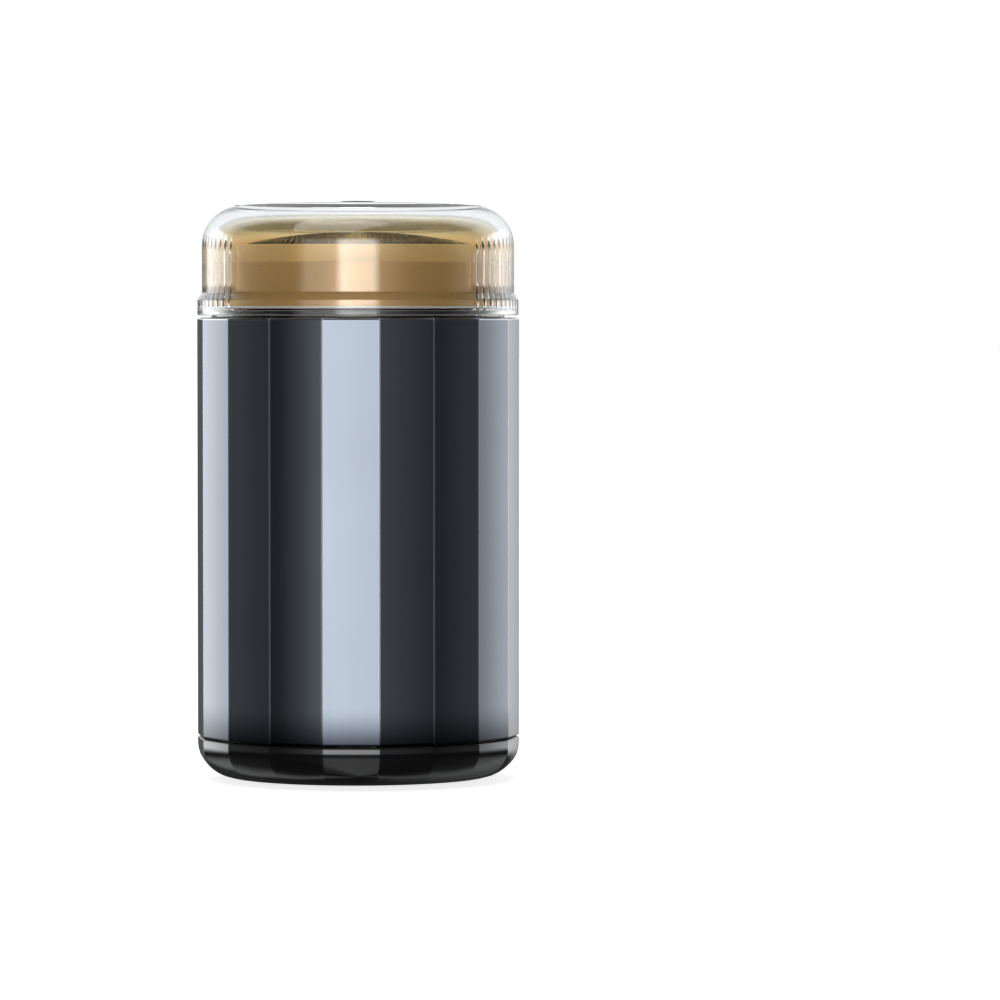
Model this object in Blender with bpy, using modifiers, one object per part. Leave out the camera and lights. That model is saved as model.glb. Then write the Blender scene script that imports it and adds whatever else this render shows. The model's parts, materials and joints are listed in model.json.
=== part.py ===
"""Pocket rotary shaver standing on its base with the cap on.

The origin is the centre of the base's flat face. +Z is up, one facet faces -Y, and the
facet with the power button faces +Y. Every dimension below is in millimetres; MM turns it
into metres where a mesh is made.
"""

import math

import bmesh
import bpy
from mathutils import Vector

MM = 0.001
GAP = 0.3  # clearance between neighbouring pieces

# Faceted body
SIDES = 18
BODY_R = 21.0  # over the facet corners
CORNER_DEG = 0.5  # half the angle that a corner's small chamfer takes
BORE_R = 18.9
PARTING_Z = 5.6
SHELL_LEDGE_Z = 58.7  # where the collar's shoulder rests inside the shell
SHELL_TOP_Z = 60.0

# Base cover
BASE_FILLET = 4.4
BASE_FILLET_STEPS = 4
BASE_BOTTOM_Z = 0.25
BASE_FLOOR_Z = 3.4
SPIGOT_R = 18.6
SPIGOT_IN_R = 17.6
SPIGOT_TOP_Z = 8.3
PAD_R = 12.4
PAD_THICK = 0.8
BASE_SCREW_RADIUS = 9.5

# Chassis
DECK_Z = 8.7  # underside of the battery deck
DECK_THICK = 1.2
CHASSIS_R = 18.4
PLATE_Z = 50.8  # underside of the motor plate
PLATE_THICK = 1.6
RAIL = (2.6, 4.0)
RAIL_RADIUS = 16.9
COLLAR_SCREW_RADIUS = 13.0
POST_R = 2.2

# Battery, along X
CELL_R = 7.0
CELL_LENGTH = 28.0
CELL_Z = 17.4

# Motor, on the axis
MOTOR_R = 10.2
MOTOR_IN_R = 9.5
MOTOR_Z = 26.6
MOTOR_TOP_Z = 50.5
SHAFT_R = 1.0
SHAFT_TOP_Z = 56.2
MOTOR_SCREW_X = 6.0

# Drive coupling
COUPLING_R = 2.6
COUPLING_Z = 55.0
COUPLING_TOP_Z = 59.3
TIP_HALF = 1.5
TIP_TOP_Z = 61.8
SPRING_Z = 51.9
SPRING_TURNS = 2.5
SPRING_WIRE_R = 0.2
SPRING_COIL_R = 1.9

# Collar
SHOULDER_R = 20.0  # over the facet corners
SHOULDER_Z = 60.0
COLLAR_R = 19.05
COLLAR_TOP_Z = 60.9
COLLAR_IN_R = 16.9
COLLAR_FLOOR_Z = (55.8, 57.4)
COLLAR_HOLE_R = 3.6

# Head
RING_R = 18.3
RING_Z = 61.2
RING_CHAMFER_Z = 67.0
RING_TOP_R = 16.6
RING_TOP_Z = 69.4
RING_IN_R = 17.3
RING_MOUTH_R = 16.2
RING_LEDGE_Z = 67.4
CARRIER_R = 17.0
CARRIER_IN_R = 15.4
CARRIER_PLUG_R = 16.5
FOIL_R = 15.95
FOIL_FLAT_R = 15.0
FOIL_TOP_Z = 69.4
FOIL_DOME = 2.5
FOIL_THICK = 0.25
FOIL_STEPS = 4

# Cutter
HUB_R = 13.6
HUB_Z = 62.2
HUB_THICK = 1.2
BLADES = 12
BLADE_R = (5.4, 13.9)
BLADE_THICK = 0.5
BLADE_DISC_Z = 63.7

# Cap
CAP_RIM_R = 20.9
CAP_RIM_Z = 63.0
CAP_R = 20.3
CAP_SEAT_R = 19.4  # inside the rim, round the collar
CAP_SEAT_Z = 61.2
CAP_CORNER = 5.2
CAP_CORNER_STEPS = 3
CAP_EDGE_Z = 74.55  # where the corner meets the crowned top
CAP_TOP_Z = 75.0
CAP_WALL = 1.25
LINER_GAP = 0.12
LINER_WALL = 0.4
LINER_Z = 61.5

# Controls, on the +Y facet
BUTTON_Z = 44.0
BUTTON_SIZE = (5.4, 11.0)
BUTTON_FACE_Y = 20.6
LED_Z = 33.0
USB_Z = 15.2
USB_SIZE = (3.26, 8.94)
PCB_Y = 13.4
PCB_SIZE = (18.0, 1.0, 40.0)
PCB_Z = 30.4

for old in list(bpy.data.objects):
    bpy.data.objects.remove(old, do_unlink=True)

SHAVER = bpy.data.collections.new("shaver")
CUTTERS = bpy.data.collections.new("cutters")
bpy.context.scene.collection.children.link(SHAVER)
bpy.context.scene.collection.children.link(CUTTERS)

# Colour, metallic and roughness of each material
LOOKS = {
    "shell_metal": ((0.030, 0.035, 0.048), 1.0, 0.22),
    "gloss_black": ((0.008, 0.008, 0.010), 0.0, 0.12),
    "soft_black": ((0.020, 0.020, 0.022), 0.0, 0.60),
    "rubber_grey": ((0.060, 0.060, 0.065), 0.0, 0.80),
    "silver_white": ((0.780, 0.785, 0.800), 0.3, 0.30),
    "steel": ((0.620, 0.630, 0.640), 1.0, 0.25),
    "brass": ((0.660, 0.480, 0.200), 1.0, 0.30),
    "copper_red": ((0.520, 0.180, 0.080), 0.6, 0.45),
    "magnet": ((0.110, 0.110, 0.120), 0.6, 0.50),
    "cell_wrap": ((0.050, 0.180, 0.420), 0.0, 0.40),
    "board_green": ((0.015, 0.160, 0.060), 0.0, 0.45),
    "chip_black": ((0.015, 0.015, 0.015), 0.0, 0.50),
    "light_lens": ((0.850, 0.850, 0.820), 0.0, 0.20),
    "wire_red": ((0.500, 0.020, 0.020), 0.0, 0.50),
    "wire_black": ((0.012, 0.012, 0.012), 0.0, 0.50),
    "clear_plastic": ((0.860, 0.870, 0.880), 0.0, 0.05),
    "amber_plastic": ((0.850, 0.520, 0.080), 0.0, 0.15),
    "hub_grey": ((0.160, 0.165, 0.175), 0.0, 0.45),
}


def material(name):
    """One Principled material for each entry of LOOKS, made the first time it is used."""
    found = bpy.data.materials.get(name)
    if found:
        return found
    colour, metallic, roughness = LOOKS[name]
    made = bpy.data.materials.new(name)
    made.use_nodes = True
    shader = made.node_tree.nodes["Principled BSDF"]
    shader.inputs["Base Color"].default_value = (*colour, 1.0)
    shader.inputs["Metallic"].default_value = metallic
    shader.inputs["Roughness"].default_value = roughness
    made.diffuse_color = (*colour, 1.0)
    return made


def place(name, data, look, origin=(0.0, 0.0, 0.0)):
    """Put mesh or curve data in the scene as a piece, or as a cutter when it has no look."""
    piece = bpy.data.objects.new(name, data)
    piece.location = Vector(origin) * MM
    if look:
        data.materials.append(material(look))
        SHAVER.objects.link(piece)
    else:
        CUTTERS.objects.link(piece)
        piece.hide_render = True
        piece.display_type = "WIRE"
    return piece


def mesh_of(name, shape, smooth=False):
    """Turn a bmesh into mesh data with its faces facing out."""
    bmesh.ops.recalc_face_normals(shape, faces=shape.faces)
    data = bpy.data.meshes.new(name)
    shape.to_mesh(data)
    shape.free()
    data.shade_smooth() if smooth else data.shade_flat()
    return data


def turned(name, profile, look, steps=28):
    """Revolve (radius, z) points about Z. The profile is a loop, or starts and ends on the axis."""
    on_axis = profile[0][0] == 0.0
    area = 0.0
    for (r0, z0), (r1, z1) in zip(profile, profile[1:] + profile[:1]):
        area += r0 * z1 - r1 * z0
    if area > 0.0:
        profile = profile[::-1]
    count = len(profile)
    edges = [(i, (i + 1) % count) for i in range(count - 1 if on_axis else count)]
    data = bpy.data.meshes.new(name)
    data.from_pydata([(r * MM, 0.0, z * MM) for r, z in profile], edges, [])
    piece = place(name, data, look)
    screw = piece.modifiers.new("turn", "SCREW")
    screw.axis = "Z"
    screw.angle = 2.0 * math.pi
    screw.steps = steps
    screw.render_steps = steps
    screw.use_merge_vertices = True
    screw.merge_threshold = 1e-6
    screw.use_smooth_shade = True
    return piece


def facet_angles():
    """Directions of each facet's two chamfer edges and its middle, in degrees."""
    angles = []
    half = 180.0 / SIDES
    for side in range(SIDES):
        middle = -90.0 + 2.0 * half * side
        angles += [middle - half + CORNER_DEG, middle, middle + half - CORNER_DEG]
    return angles


def facet_radius(corner_r, angle):
    """Distance from the axis to the faceted outline in one of the directions of facet_angles."""
    half = math.radians(180.0 / SIDES)
    off = math.radians((angle + 90.0 + 180.0 / SIDES) % (360.0 / SIDES)) - half
    return corner_r * math.cos(half) / math.cos(off)


def lofted(name, sections, look, closed=True):
    """Skin rings of a faceted or round outline. Each section is (faceted, radius, z)."""
    shape = bmesh.new()
    angles = facet_angles()
    rings = []
    for faceted, radius, z in sections:
        ring = []
        for angle in angles:
            r = facet_radius(radius, angle) if faceted else radius
            turn = math.radians(angle)
            ring.append(shape.verts.new(Vector((r * math.cos(turn), r * math.sin(turn), z)) * MM))
        rings.append(ring)
    count = len(angles)
    pairs = list(zip(rings, rings[1:] + rings[:1])) if closed else list(zip(rings, rings[1:]))
    for low, high in pairs:
        for i in range(count):
            j = (i + 1) % count
            shape.faces.new((low[i], low[j], high[j], high[i]))
    if not closed:
        shape.faces.new(rings[0])
        shape.faces.new(rings[-1])
    return place(name, mesh_of(name, shape), look)


def add_box(shape, centre, size):
    """Add one box to a bmesh."""
    made = bmesh.ops.create_cube(shape, size=1.0)["verts"]
    for vert in made:
        vert.co = Vector([c + v * s for c, v, s in zip(centre, vert.co, size)]) * MM


def add_rod(shape, centre, radius, length, axis="Z", sides=20):
    """Add one cylinder, or a prism when it has few sides, centred on a point along an axis."""
    made = bmesh.ops.create_cone(
        shape, cap_ends=True, segments=sides, radius1=radius, radius2=radius, depth=length
    )["verts"]
    for vert in made:
        x, y, z = vert.co
        turned_point = {"Z": (x, y, z), "Y": (x, z, -y), "X": (z, y, -x)}[axis]
        vert.co = (Vector(centre) + Vector(turned_point)) * MM


def add_slot(shape, centre, size, depth, steps=6):
    """Add an oblong prism with round ends: size is (width in X, height in Z), depth runs along Y."""
    width, height = size
    radius = width / 2.0
    reach = height / 2.0 - radius
    outline = []
    for end, start in ((reach, 0.0), (-reach, 180.0)):
        for step in range(steps + 1):
            turn = math.radians(start + 180.0 * step / steps)
            outline.append((radius * math.cos(turn), end + radius * math.sin(turn)))
    rings = []
    for y in (-depth / 2.0, depth / 2.0):
        points = [Vector(centre) + Vector((x, y, z)) for x, z in outline]
        rings.append([shape.verts.new(point * MM) for point in points])
    shape.faces.new(rings[0])
    shape.faces.new(rings[1])
    for i in range(len(outline)):
        j = (i + 1) % len(outline)
        shape.faces.new((rings[0][i], rings[0][j], rings[1][j], rings[1][i]))


def join(piece, other, operation):
    """Union, or cut away, another closed mesh."""
    boolean = piece.modifiers.new(operation.lower(), "BOOLEAN")
    boolean.operation = operation
    boolean.solver = "EXACT"
    boolean.object = other
    return piece


def solid(name, add, look, origin=(0.0, 0.0, 0.0)):
    """A piece or a cutter whose bmesh the given function fills."""
    shape = bmesh.new()
    add(shape)
    return place(name, mesh_of(name, shape), look, origin)


def around(radius, angles):
    """Points on a circle about the axis, from angles in degrees."""
    return [(radius * math.cos(math.radians(a)), radius * math.sin(math.radians(a))) for a in angles]


def arc(centre_r, centre_z, radius, start, end, steps):
    """Profile points along an arc, from angles in degrees."""
    points = []
    for step in range(steps + 1):
        turn = math.radians(start + (end - start) * step / steps)
        points.append((centre_r + radius * math.cos(turn), centre_z + radius * math.sin(turn)))
    return points


def wire(name, points, radius, look):
    """A round wire through points, with closed ends."""
    data = bpy.data.curves.new(name, "CURVE")
    data.dimensions = "3D"
    data.resolution_u = 5
    data.bevel_depth = radius * MM
    data.bevel_resolution = 1
    data.use_fill_caps = True
    spline = data.splines.new("BEZIER")
    spline.bezier_points.add(len(points) - 1)
    for knot, point in zip(spline.bezier_points, points):
        knot.co = Vector(point) * MM
        knot.handle_left_type = "AUTO"
        knot.handle_right_type = "AUTO"
    return place(name, data, look)


def screw_piece(name, x, y, seat_z, down, head_r, head_h, shank_r, length):
    """A pan-head screw with a hexagonal recess. Its shank runs down from seat_z, or up."""
    way = -1.0 if down else 1.0
    shape = bmesh.new()
    profile = [
        (0.0, seat_z - way * head_h),
        (head_r * 0.8, seat_z - way * head_h),
        (head_r, seat_z - way * head_h * 0.5),
        (head_r, seat_z),
        (shank_r, seat_z),
        (shank_r, seat_z + way * (length - shank_r)),
        (0.0, seat_z + way * length),
    ]
    sides = 10
    rings = []
    for radius, z in profile:
        if radius == 0.0:
            rings.append([shape.verts.new(Vector((x, y, z)) * MM)])
            continue
        ring = []
        for i in range(sides):
            turn = 2.0 * math.pi * i / sides
            point = Vector((x + radius * math.cos(turn), y + radius * math.sin(turn), z))
            ring.append(shape.verts.new(point * MM))
        rings.append(ring)
    for first, second in zip(rings, rings[1:]):
        for i in range(sides):
            j = (i + 1) % sides
            corners = {first[i % len(first)]: 1, first[j % len(first)]: 1}
            corners.update({second[j % len(second)]: 1, second[i % len(second)]: 1})
            shape.faces.new(list(corners))
    piece = place(name, mesh_of(name, shape), "steel")
    recess = (x, y, seat_z - way * head_h)
    tool = solid(
        name + "_recess",
        lambda shape: add_rod(shape, recess, head_r * 0.45, head_h, sides=6),
        None,
    )
    return join(piece, tool, "DIFFERENCE")


# ---------------------------------------------------------------- body


def make_shell():
    """The faceted tube, with its window, light hole and charging slot in the +Y facet."""
    lip = 0.35
    recess_r = SHOULDER_R + GAP
    shell = lofted(
        "body_shell",
        [
            (True, BODY_R - lip, PARTING_Z),
            (True, BODY_R, PARTING_Z + lip),
            (True, BODY_R, SHELL_TOP_Z - lip),
            (True, BODY_R - lip, SHELL_TOP_Z),
            (True, recess_r, SHELL_TOP_Z),
            (True, recess_r, SHELL_LEDGE_Z),
            (False, BORE_R, SHELL_LEDGE_Z),
            (False, BORE_R, PARTING_Z),
        ],
        "shell_metal",
    )

    def windows(shape):
        button = [side + 2 * GAP for side in BUTTON_SIZE]
        charger = [side + 2 * GAP for side in USB_SIZE]
        add_slot(shape, (0.0, BODY_R, BUTTON_Z), button, 8.0)
        add_slot(shape, (0.0, BODY_R, USB_Z), charger, 8.0)
        add_rod(shape, (0.0, BODY_R, LED_Z), 1.2, 8.0, "Y", 16)

    return join(shell, solid("shell_windows", windows, None), "DIFFERENCE")


def make_base():
    """Black lower cover: rounded faceted bottom, floor with screw holes, spigot with a seal groove."""
    edge = arc(
        BODY_R - BASE_FILLET, BASE_BOTTOM_Z + BASE_FILLET, BASE_FILLET, -90.0, 0.0, BASE_FILLET_STEPS
    )
    outside = [(True, r, z) for r, z in edge]
    top_z = PARTING_Z - GAP
    recess_z = PAD_THICK + GAP
    groove_z = (6.5, 7.5)
    cover = lofted(
        "base_cover",
        [(False, PAD_R + GAP, BASE_BOTTOM_Z)]
        + outside
        + [
            (True, BODY_R, top_z - 0.2),
            (True, BODY_R - 0.2, top_z),
            (False, SPIGOT_R, top_z),
            (False, SPIGOT_R, groove_z[0]),
            (False, SPIGOT_R - 0.7, groove_z[0]),
            (False, SPIGOT_R - 0.7, groove_z[1]),
            (False, SPIGOT_R, groove_z[1]),
            (False, SPIGOT_R, SPIGOT_TOP_Z),
            (False, SPIGOT_IN_R - 0.4, SPIGOT_TOP_Z),
            (False, SPIGOT_IN_R - 0.4, BASE_FLOOR_Z),
            (False, 3.0, BASE_FLOOR_Z),
            (False, 3.0, recess_z),
            (False, PAD_R + GAP, recess_z),
        ],
        "gloss_black",
    )

    def holes(shape):
        for x, y in around(BASE_SCREW_RADIUS, (-90.0, 30.0, 150.0)):
            add_rod(shape, (x, y, 3.2), 1.1, 2.0, sides=18)

    def sinks(shape):
        for x, y in around(BASE_SCREW_RADIUS, (-90.0, 30.0, 150.0)):
            add_rod(shape, (x, y, 1.4), 2.0, 2.0, sides=18)

    join(cover, solid("base_sinks", sinks, None), "DIFFERENCE")
    join(cover, solid("base_holes", holes, None), "DIFFERENCE")
    turned(
        "base_pad",
        [(0.0, 0.0), (PAD_R - 0.3, 0.0), (PAD_R, 0.3), (PAD_R, PAD_THICK), (0.0, PAD_THICK)],
        "rubber_grey",
        steps=48,
    )
    seal_ring("base_seal", 18.3, 7.0)
    for number, (x, y) in enumerate(around(BASE_SCREW_RADIUS, (-90.0, 30.0, 150.0)), 1):
        screw_piece(f"base_screw_{number}", x, y, 2.1, False, 1.6, 0.9, 0.8, 5.4)


def seal_ring(name, radius, z):
    """A rubber O-ring."""
    section = arc(radius, z, 0.32, 0.0, 300.0, 5)
    turned(name, section, "rubber_grey", steps=30)


def make_chassis():
    """Frame: battery deck, three rails, motor plate, and posts that take the screws."""
    deck_top = DECK_Z + DECK_THICK
    plate_top = PLATE_Z + PLATE_THICK
    chassis = solid(
        "chassis",
        lambda shape: add_rod(
            shape, (0.0, 0.0, PLATE_Z + PLATE_THICK / 2.0), CHASSIS_R, PLATE_THICK, sides=30
        ),
        "soft_black",
    )
    deck = solid(
        "chassis_deck",
        lambda shape: add_rod(
            shape, (0.0, 0.0, DECK_Z + DECK_THICK / 2.0), CHASSIS_R, DECK_THICK, sides=30
        ),
        None,
    )

    def supports(shape):
        height = PLATE_Z - deck_top + 1.2
        middle = (PLATE_Z + deck_top) / 2.0
        add_box(shape, (RAIL_RADIUS, 0.0, middle), (RAIL[0], RAIL[1], height))
        add_box(shape, (-RAIL_RADIUS, 0.0, middle), (RAIL[0], RAIL[1], height))
        add_box(shape, (0.0, -RAIL_RADIUS, middle), (RAIL[1], RAIL[0], height))
        for x, y in around(BASE_SCREW_RADIUS, (-90.0, 30.0, 150.0)):
            add_rod(shape, (x, y, (3.7 + deck_top - 0.5) / 2.0), POST_R, deck_top - 0.5 - 3.7, sides=12)
        for x, y in around(COLLAR_SCREW_RADIUS, (90.0, 210.0, 330.0)):
            add_rod(shape, (x, y, (55.5 + plate_top - 0.5) / 2.0), POST_R, 55.5 - plate_top + 0.5, sides=12)

    def holes(shape):
        add_rod(shape, (0.0, 0.0, PLATE_Z + 0.8), 3.5, 4.0, sides=24)
        for x in (-MOTOR_SCREW_X, MOTOR_SCREW_X):
            add_rod(shape, (x, 0.0, PLATE_Z + 0.8), 1.1, 4.0, sides=12)
        for x, y in around(BASE_SCREW_RADIUS, (-90.0, 30.0, 150.0)):
            add_rod(shape, (x, y, 5.4), 1.0, 5.2, sides=10)
        for x, y in around(COLLAR_SCREW_RADIUS, (90.0, 210.0, 330.0)):
            add_rod(shape, (x, y, 54.3), 1.0, 4.0, sides=10)

    join(chassis, deck, "UNION")
    join(chassis, solid("chassis_supports", supports, None), "UNION")
    join(chassis, solid("chassis_holes", holes, None), "DIFFERENCE")


def make_battery():
    """Small lithium cell along X with a tab at each end."""

    def cell(shape):
        add_rod(shape, (0.0, 0.0, CELL_Z), CELL_R, CELL_LENGTH, "X", 32)

    def tab(side):
        x = side * (CELL_LENGTH / 2.0 + 0.35)
        return lambda shape: add_box(shape, (x, 0.0, CELL_Z), (0.2, 4.0, 6.0))

    solid("battery_cell", cell, "cell_wrap")
    solid("battery_tab_pos", tab(1.0), "steel")
    solid("battery_tab_neg", tab(-1.0), "steel")


def make_collar():
    """Shoulder, gloss band and floor above the shell, with a seal groove in its spigot."""
    low, high = COLLAR_FLOOR_Z
    flange_z = SHELL_LEDGE_Z + GAP
    groove_z = (57.1, 58.1)
    collar = lofted(
        "collar",
        [
            (False, COLLAR_HOLE_R, high),
            (False, COLLAR_IN_R, high),
            (False, COLLAR_IN_R, COLLAR_TOP_Z),
            (False, COLLAR_R - 0.3, COLLAR_TOP_Z),
            (False, COLLAR_R, COLLAR_TOP_Z - 0.3),
            (False, COLLAR_R, SHOULDER_Z),
            (True, SHOULDER_R - 0.2, SHOULDER_Z),
            (True, SHOULDER_R, SHOULDER_Z - 0.2),
            (True, SHOULDER_R, flange_z),
            (False, SPIGOT_R, flange_z),
            (False, SPIGOT_R, groove_z[1]),
            (False, SPIGOT_R - 0.7, groove_z[1]),
            (False, SPIGOT_R - 0.7, groove_z[0]),
            (False, SPIGOT_R, groove_z[0]),
            (False, SPIGOT_R, low),
            (False, COLLAR_HOLE_R, low),
        ],
        "gloss_black",
    )

    def holes(shape):
        for x, y in around(COLLAR_SCREW_RADIUS, (90.0, 210.0, 330.0)):
            add_rod(shape, (x, y, (low + high) / 2.0), 1.1, 4.0, sides=16)

    join(collar, solid("collar_holes", holes, None), "DIFFERENCE")
    seal_ring("collar_seal", 18.3, 57.6)
    for number, (x, y) in enumerate(around(COLLAR_SCREW_RADIUS, (90.0, 210.0, 330.0)), 1):
        screw_piece(f"collar_screw_{number}", x, y, high + 0.1, True, 1.5, 0.9, 0.8, 4.6)
    turned(
        "shaft_seal",
        [
            (2.95, 56.2),
            (3.3, 56.2),
            (3.3, high + GAP),
            (5.4, high + GAP),
            (5.4, high + 0.9),
            (3.5, high + 1.2),
            (2.95, high + 1.2),
        ],
        "rubber_grey",
        steps=28,
    )


# ---------------------------------------------------------------- drive


def make_motor():
    """Can, end cap, magnet ring, rotor, shaft, terminals and screws of the small DC motor."""
    wall_top = MOTOR_TOP_Z - 1.2
    turned(
        "motor_can",
        [
            (1.5, MOTOR_TOP_Z + 1.1),
            (3.0, MOTOR_TOP_Z + 1.1),
            (3.0, MOTOR_TOP_Z),
            (MOTOR_R - 0.6, MOTOR_TOP_Z),
            (MOTOR_R, MOTOR_TOP_Z - 0.6),
            (MOTOR_R, MOTOR_Z),
            (MOTOR_IN_R, MOTOR_Z),
            (MOTOR_IN_R, wall_top),
            (1.5, wall_top),
        ],
        "steel",
        steps=36,
    )
    turned(
        "motor_end_cap",
        [(1.4, MOTOR_Z), (9.2, MOTOR_Z), (9.2, MOTOR_Z + 2.0), (1.4, MOTOR_Z + 2.0)],
        "soft_black",
        steps=28,
    )
    turned(
        "motor_magnet",
        [(7.9, 31.5), (9.2, 31.5), (9.2, 47.5), (7.9, 47.5)],
        "magnet",
        steps=28,
    )
    turned(
        "motor_rotor",
        [
            (SHAFT_R + GAP, 47.0),
            (5.6, 47.0),
            (7.5, 45.6),
            (7.5, 34.0),
            (5.6, 33.0),
            (2.6, 33.0),
            (2.6, 29.6),
            (SHAFT_R + GAP, 29.6),
        ],
        "copper_red",
        steps=28,
    )
    turned(
        "motor_shaft",
        [
            (0.0, 27.2),
            (SHAFT_R, 27.2),
            (SHAFT_R, SHAFT_TOP_Z - 0.3),
            (SHAFT_R - 0.3, SHAFT_TOP_Z),
            (0.0, SHAFT_TOP_Z),
        ],
        "steel",
        steps=16,
    )
    for side, ending in ((1.0, "pos"), (-1.0, "neg")):
        solid(
            f"motor_terminal_{ending}",
            lambda shape, x=5.5 * side: add_box(shape, (x, 3.0, 25.7), (2.0, 0.4, 1.2)),
            "brass",
        )
    for number, x in enumerate((-MOTOR_SCREW_X, MOTOR_SCREW_X), 1):
        screw_piece(f"motor_screw_{number}", x, 0.0, 52.7, True, 1.5, 0.8, 0.7, 1.9)


def make_coupling():
    """Square-tipped drive coupling that slides on the shaft, with its coil spring."""
    coupling = turned(
        "drive_coupling",
        [
            (0.0, COUPLING_TOP_Z),
            (COUPLING_R - 0.3, COUPLING_TOP_Z),
            (COUPLING_R, COUPLING_TOP_Z - 0.3),
            (COUPLING_R, COUPLING_Z + 0.7),
            (2.8, COUPLING_Z + 0.5),
            (2.8, COUPLING_Z),
            (SHAFT_R + 0.25, COUPLING_Z),
            (SHAFT_R + 0.25, 58.1),
            (0.0, 58.1),
        ],
        "soft_black",
        steps=24,
    )
    tip = solid(
        "coupling_tip",
        lambda shape: add_box(
            shape,
            (0.0, 0.0, (TIP_TOP_Z + COUPLING_TOP_Z - 0.5) / 2.0),
            (2 * TIP_HALF, 2 * TIP_HALF, TIP_TOP_Z - COUPLING_TOP_Z + 0.5),
        ),
        None,
    )
    join(coupling, tip, "UNION")
    data = bpy.data.curves.new("coupling_spring", "CURVE")
    data.dimensions = "3D"
    data.bevel_depth = SPRING_WIRE_R * MM
    data.bevel_resolution = 2
    data.use_fill_caps = True
    steps = 30
    rise = COUPLING_Z - 0.1 - SPRING_Z - 2.0 * SPRING_WIRE_R
    spline = data.splines.new("POLY")
    spline.points.add(steps)
    for step, point in enumerate(spline.points):
        turn = 2.0 * math.pi * SPRING_TURNS * step / steps
        z = SPRING_Z + SPRING_WIRE_R + rise * step / steps
        place_at = Vector((SPRING_COIL_R * math.cos(turn), SPRING_COIL_R * math.sin(turn), z))
        point.co = (*(place_at * MM), 1.0)
    place("coupling_spring", data, "steel")


# ---------------------------------------------------------------- head


def dome_z(radius):
    """Height of the foil's outer surface at a radius inside the dome."""
    sphere = (FOIL_FLAT_R**2 + FOIL_DOME**2) / (2.0 * FOIL_DOME)
    return FOIL_TOP_Z + FOIL_DOME - sphere + math.sqrt(sphere**2 - radius**2)


def make_head():
    """White ring, foil and the carrier that plugs into the collar."""
    turned(
        "head_ring",
        [
            (RING_MOUTH_R, RING_TOP_Z),
            (RING_TOP_R, RING_TOP_Z),
            (RING_R - 0.1, RING_CHAMFER_Z + 0.25),
            (RING_R, RING_CHAMFER_Z - 0.1),
            (RING_R, RING_Z + 0.15),
            (RING_R - 0.15, RING_Z),
            (RING_IN_R, RING_Z),
            (RING_IN_R, RING_LEDGE_Z),
            (RING_MOUTH_R, RING_LEDGE_Z),
        ],
        "silver_white",
        steps=48,
    )
    radii = [FOIL_FLAT_R * step / FOIL_STEPS for step in range(FOIL_STEPS + 1)]
    outer = [(r, dome_z(r)) for r in radii]
    inner = [(r, z - FOIL_THICK) for r, z in reversed(outer)]
    skirt_z = RING_LEDGE_Z - GAP
    turned(
        "foil",
        outer
        + [
            (FOIL_R - 0.2, FOIL_TOP_Z),
            (FOIL_R, FOIL_TOP_Z - 0.2),
            (FOIL_R, skirt_z),
            (CARRIER_R, skirt_z),
            (CARRIER_R, skirt_z - 0.4),
            (FOIL_R - 0.3, skirt_z - 0.4),
            (FOIL_R - 0.3, FOIL_TOP_Z - FOIL_THICK),
        ]
        + inner,
        "steel",
        steps=48,
    )
    turned(
        "head_carrier",
        [
            (CARRIER_IN_R, 66.4),
            (CARRIER_R, 66.4),
            (CARRIER_R, 64.2),
            (CARRIER_PLUG_R, 64.0),
            (CARRIER_PLUG_R, 59.0),
            (CARRIER_PLUG_R - 0.4, 58.6),
            (CARRIER_IN_R, 58.6),
        ],
        "soft_black",
        steps=48,
    )


def make_cutter():
    """Hub with a square socket, blade disc, and the spider clip that holds them in the carrier."""
    hub = turned(
        "cutter_hub",
        [
            (0.0, HUB_Z + HUB_THICK),
            (HUB_R, HUB_Z + HUB_THICK),
            (HUB_R, HUB_Z),
            (3.5, HUB_Z),
            (3.5, 59.9),
            (0.0, 59.9),
        ],
        "hub_grey",
        steps=32,
    )
    socket = 2.0 * (TIP_HALF + GAP)
    tool = solid(
        "hub_socket",
        lambda shape: add_box(shape, (0.0, 0.0, 61.0), (socket, socket, 3.8)),
        None,
    )
    join(hub, tool, "DIFFERENCE")
    disc = turned(
        "cutter_blades",
        [
            (BLADE_R[0] - 0.8, BLADE_DISC_Z),
            (BLADE_R[1], BLADE_DISC_Z),
            (BLADE_R[1], BLADE_DISC_Z + 0.7),
            (BLADE_R[0] - 0.8, BLADE_DISC_Z + 0.7),
        ],
        "steel",
        steps=36,
    )
    join(disc, solid("blade_fins", add_fins, None), "UNION")

    def spider(shape):
        for angle in (30.0, 150.0, 270.0):
            (x, y), = around(9.3, (angle,))
            bar = bmesh.ops.create_cube(shape, size=1.0)["verts"]
            turn = math.radians(angle)
            for vert in bar:
                along, across, up = vert.co.x * 10.4, vert.co.y * 2.4, vert.co.z * 0.8
                spot = (
                    x + along * math.cos(turn) - across * math.sin(turn),
                    y + along * math.sin(turn) + across * math.cos(turn),
                    60.8 + up,
                )
                vert.co = Vector(spot) * MM
        return shape

    clip = turned(
        "cutter_clip",
        [(13.9, 61.2), (15.1, 61.2), (15.1, 60.4), (13.9, 60.4)],
        "soft_black",
        steps=36,
    )
    centre = turned(
        "clip_centre", [(3.9, 61.3), (5.0, 61.3), (5.0, 60.3), (3.9, 60.3)], None, steps=28
    )
    arms = solid("clip_arms", spider, None)
    join(arms, centre, "UNION")
    join(clip, arms, "UNION")


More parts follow.
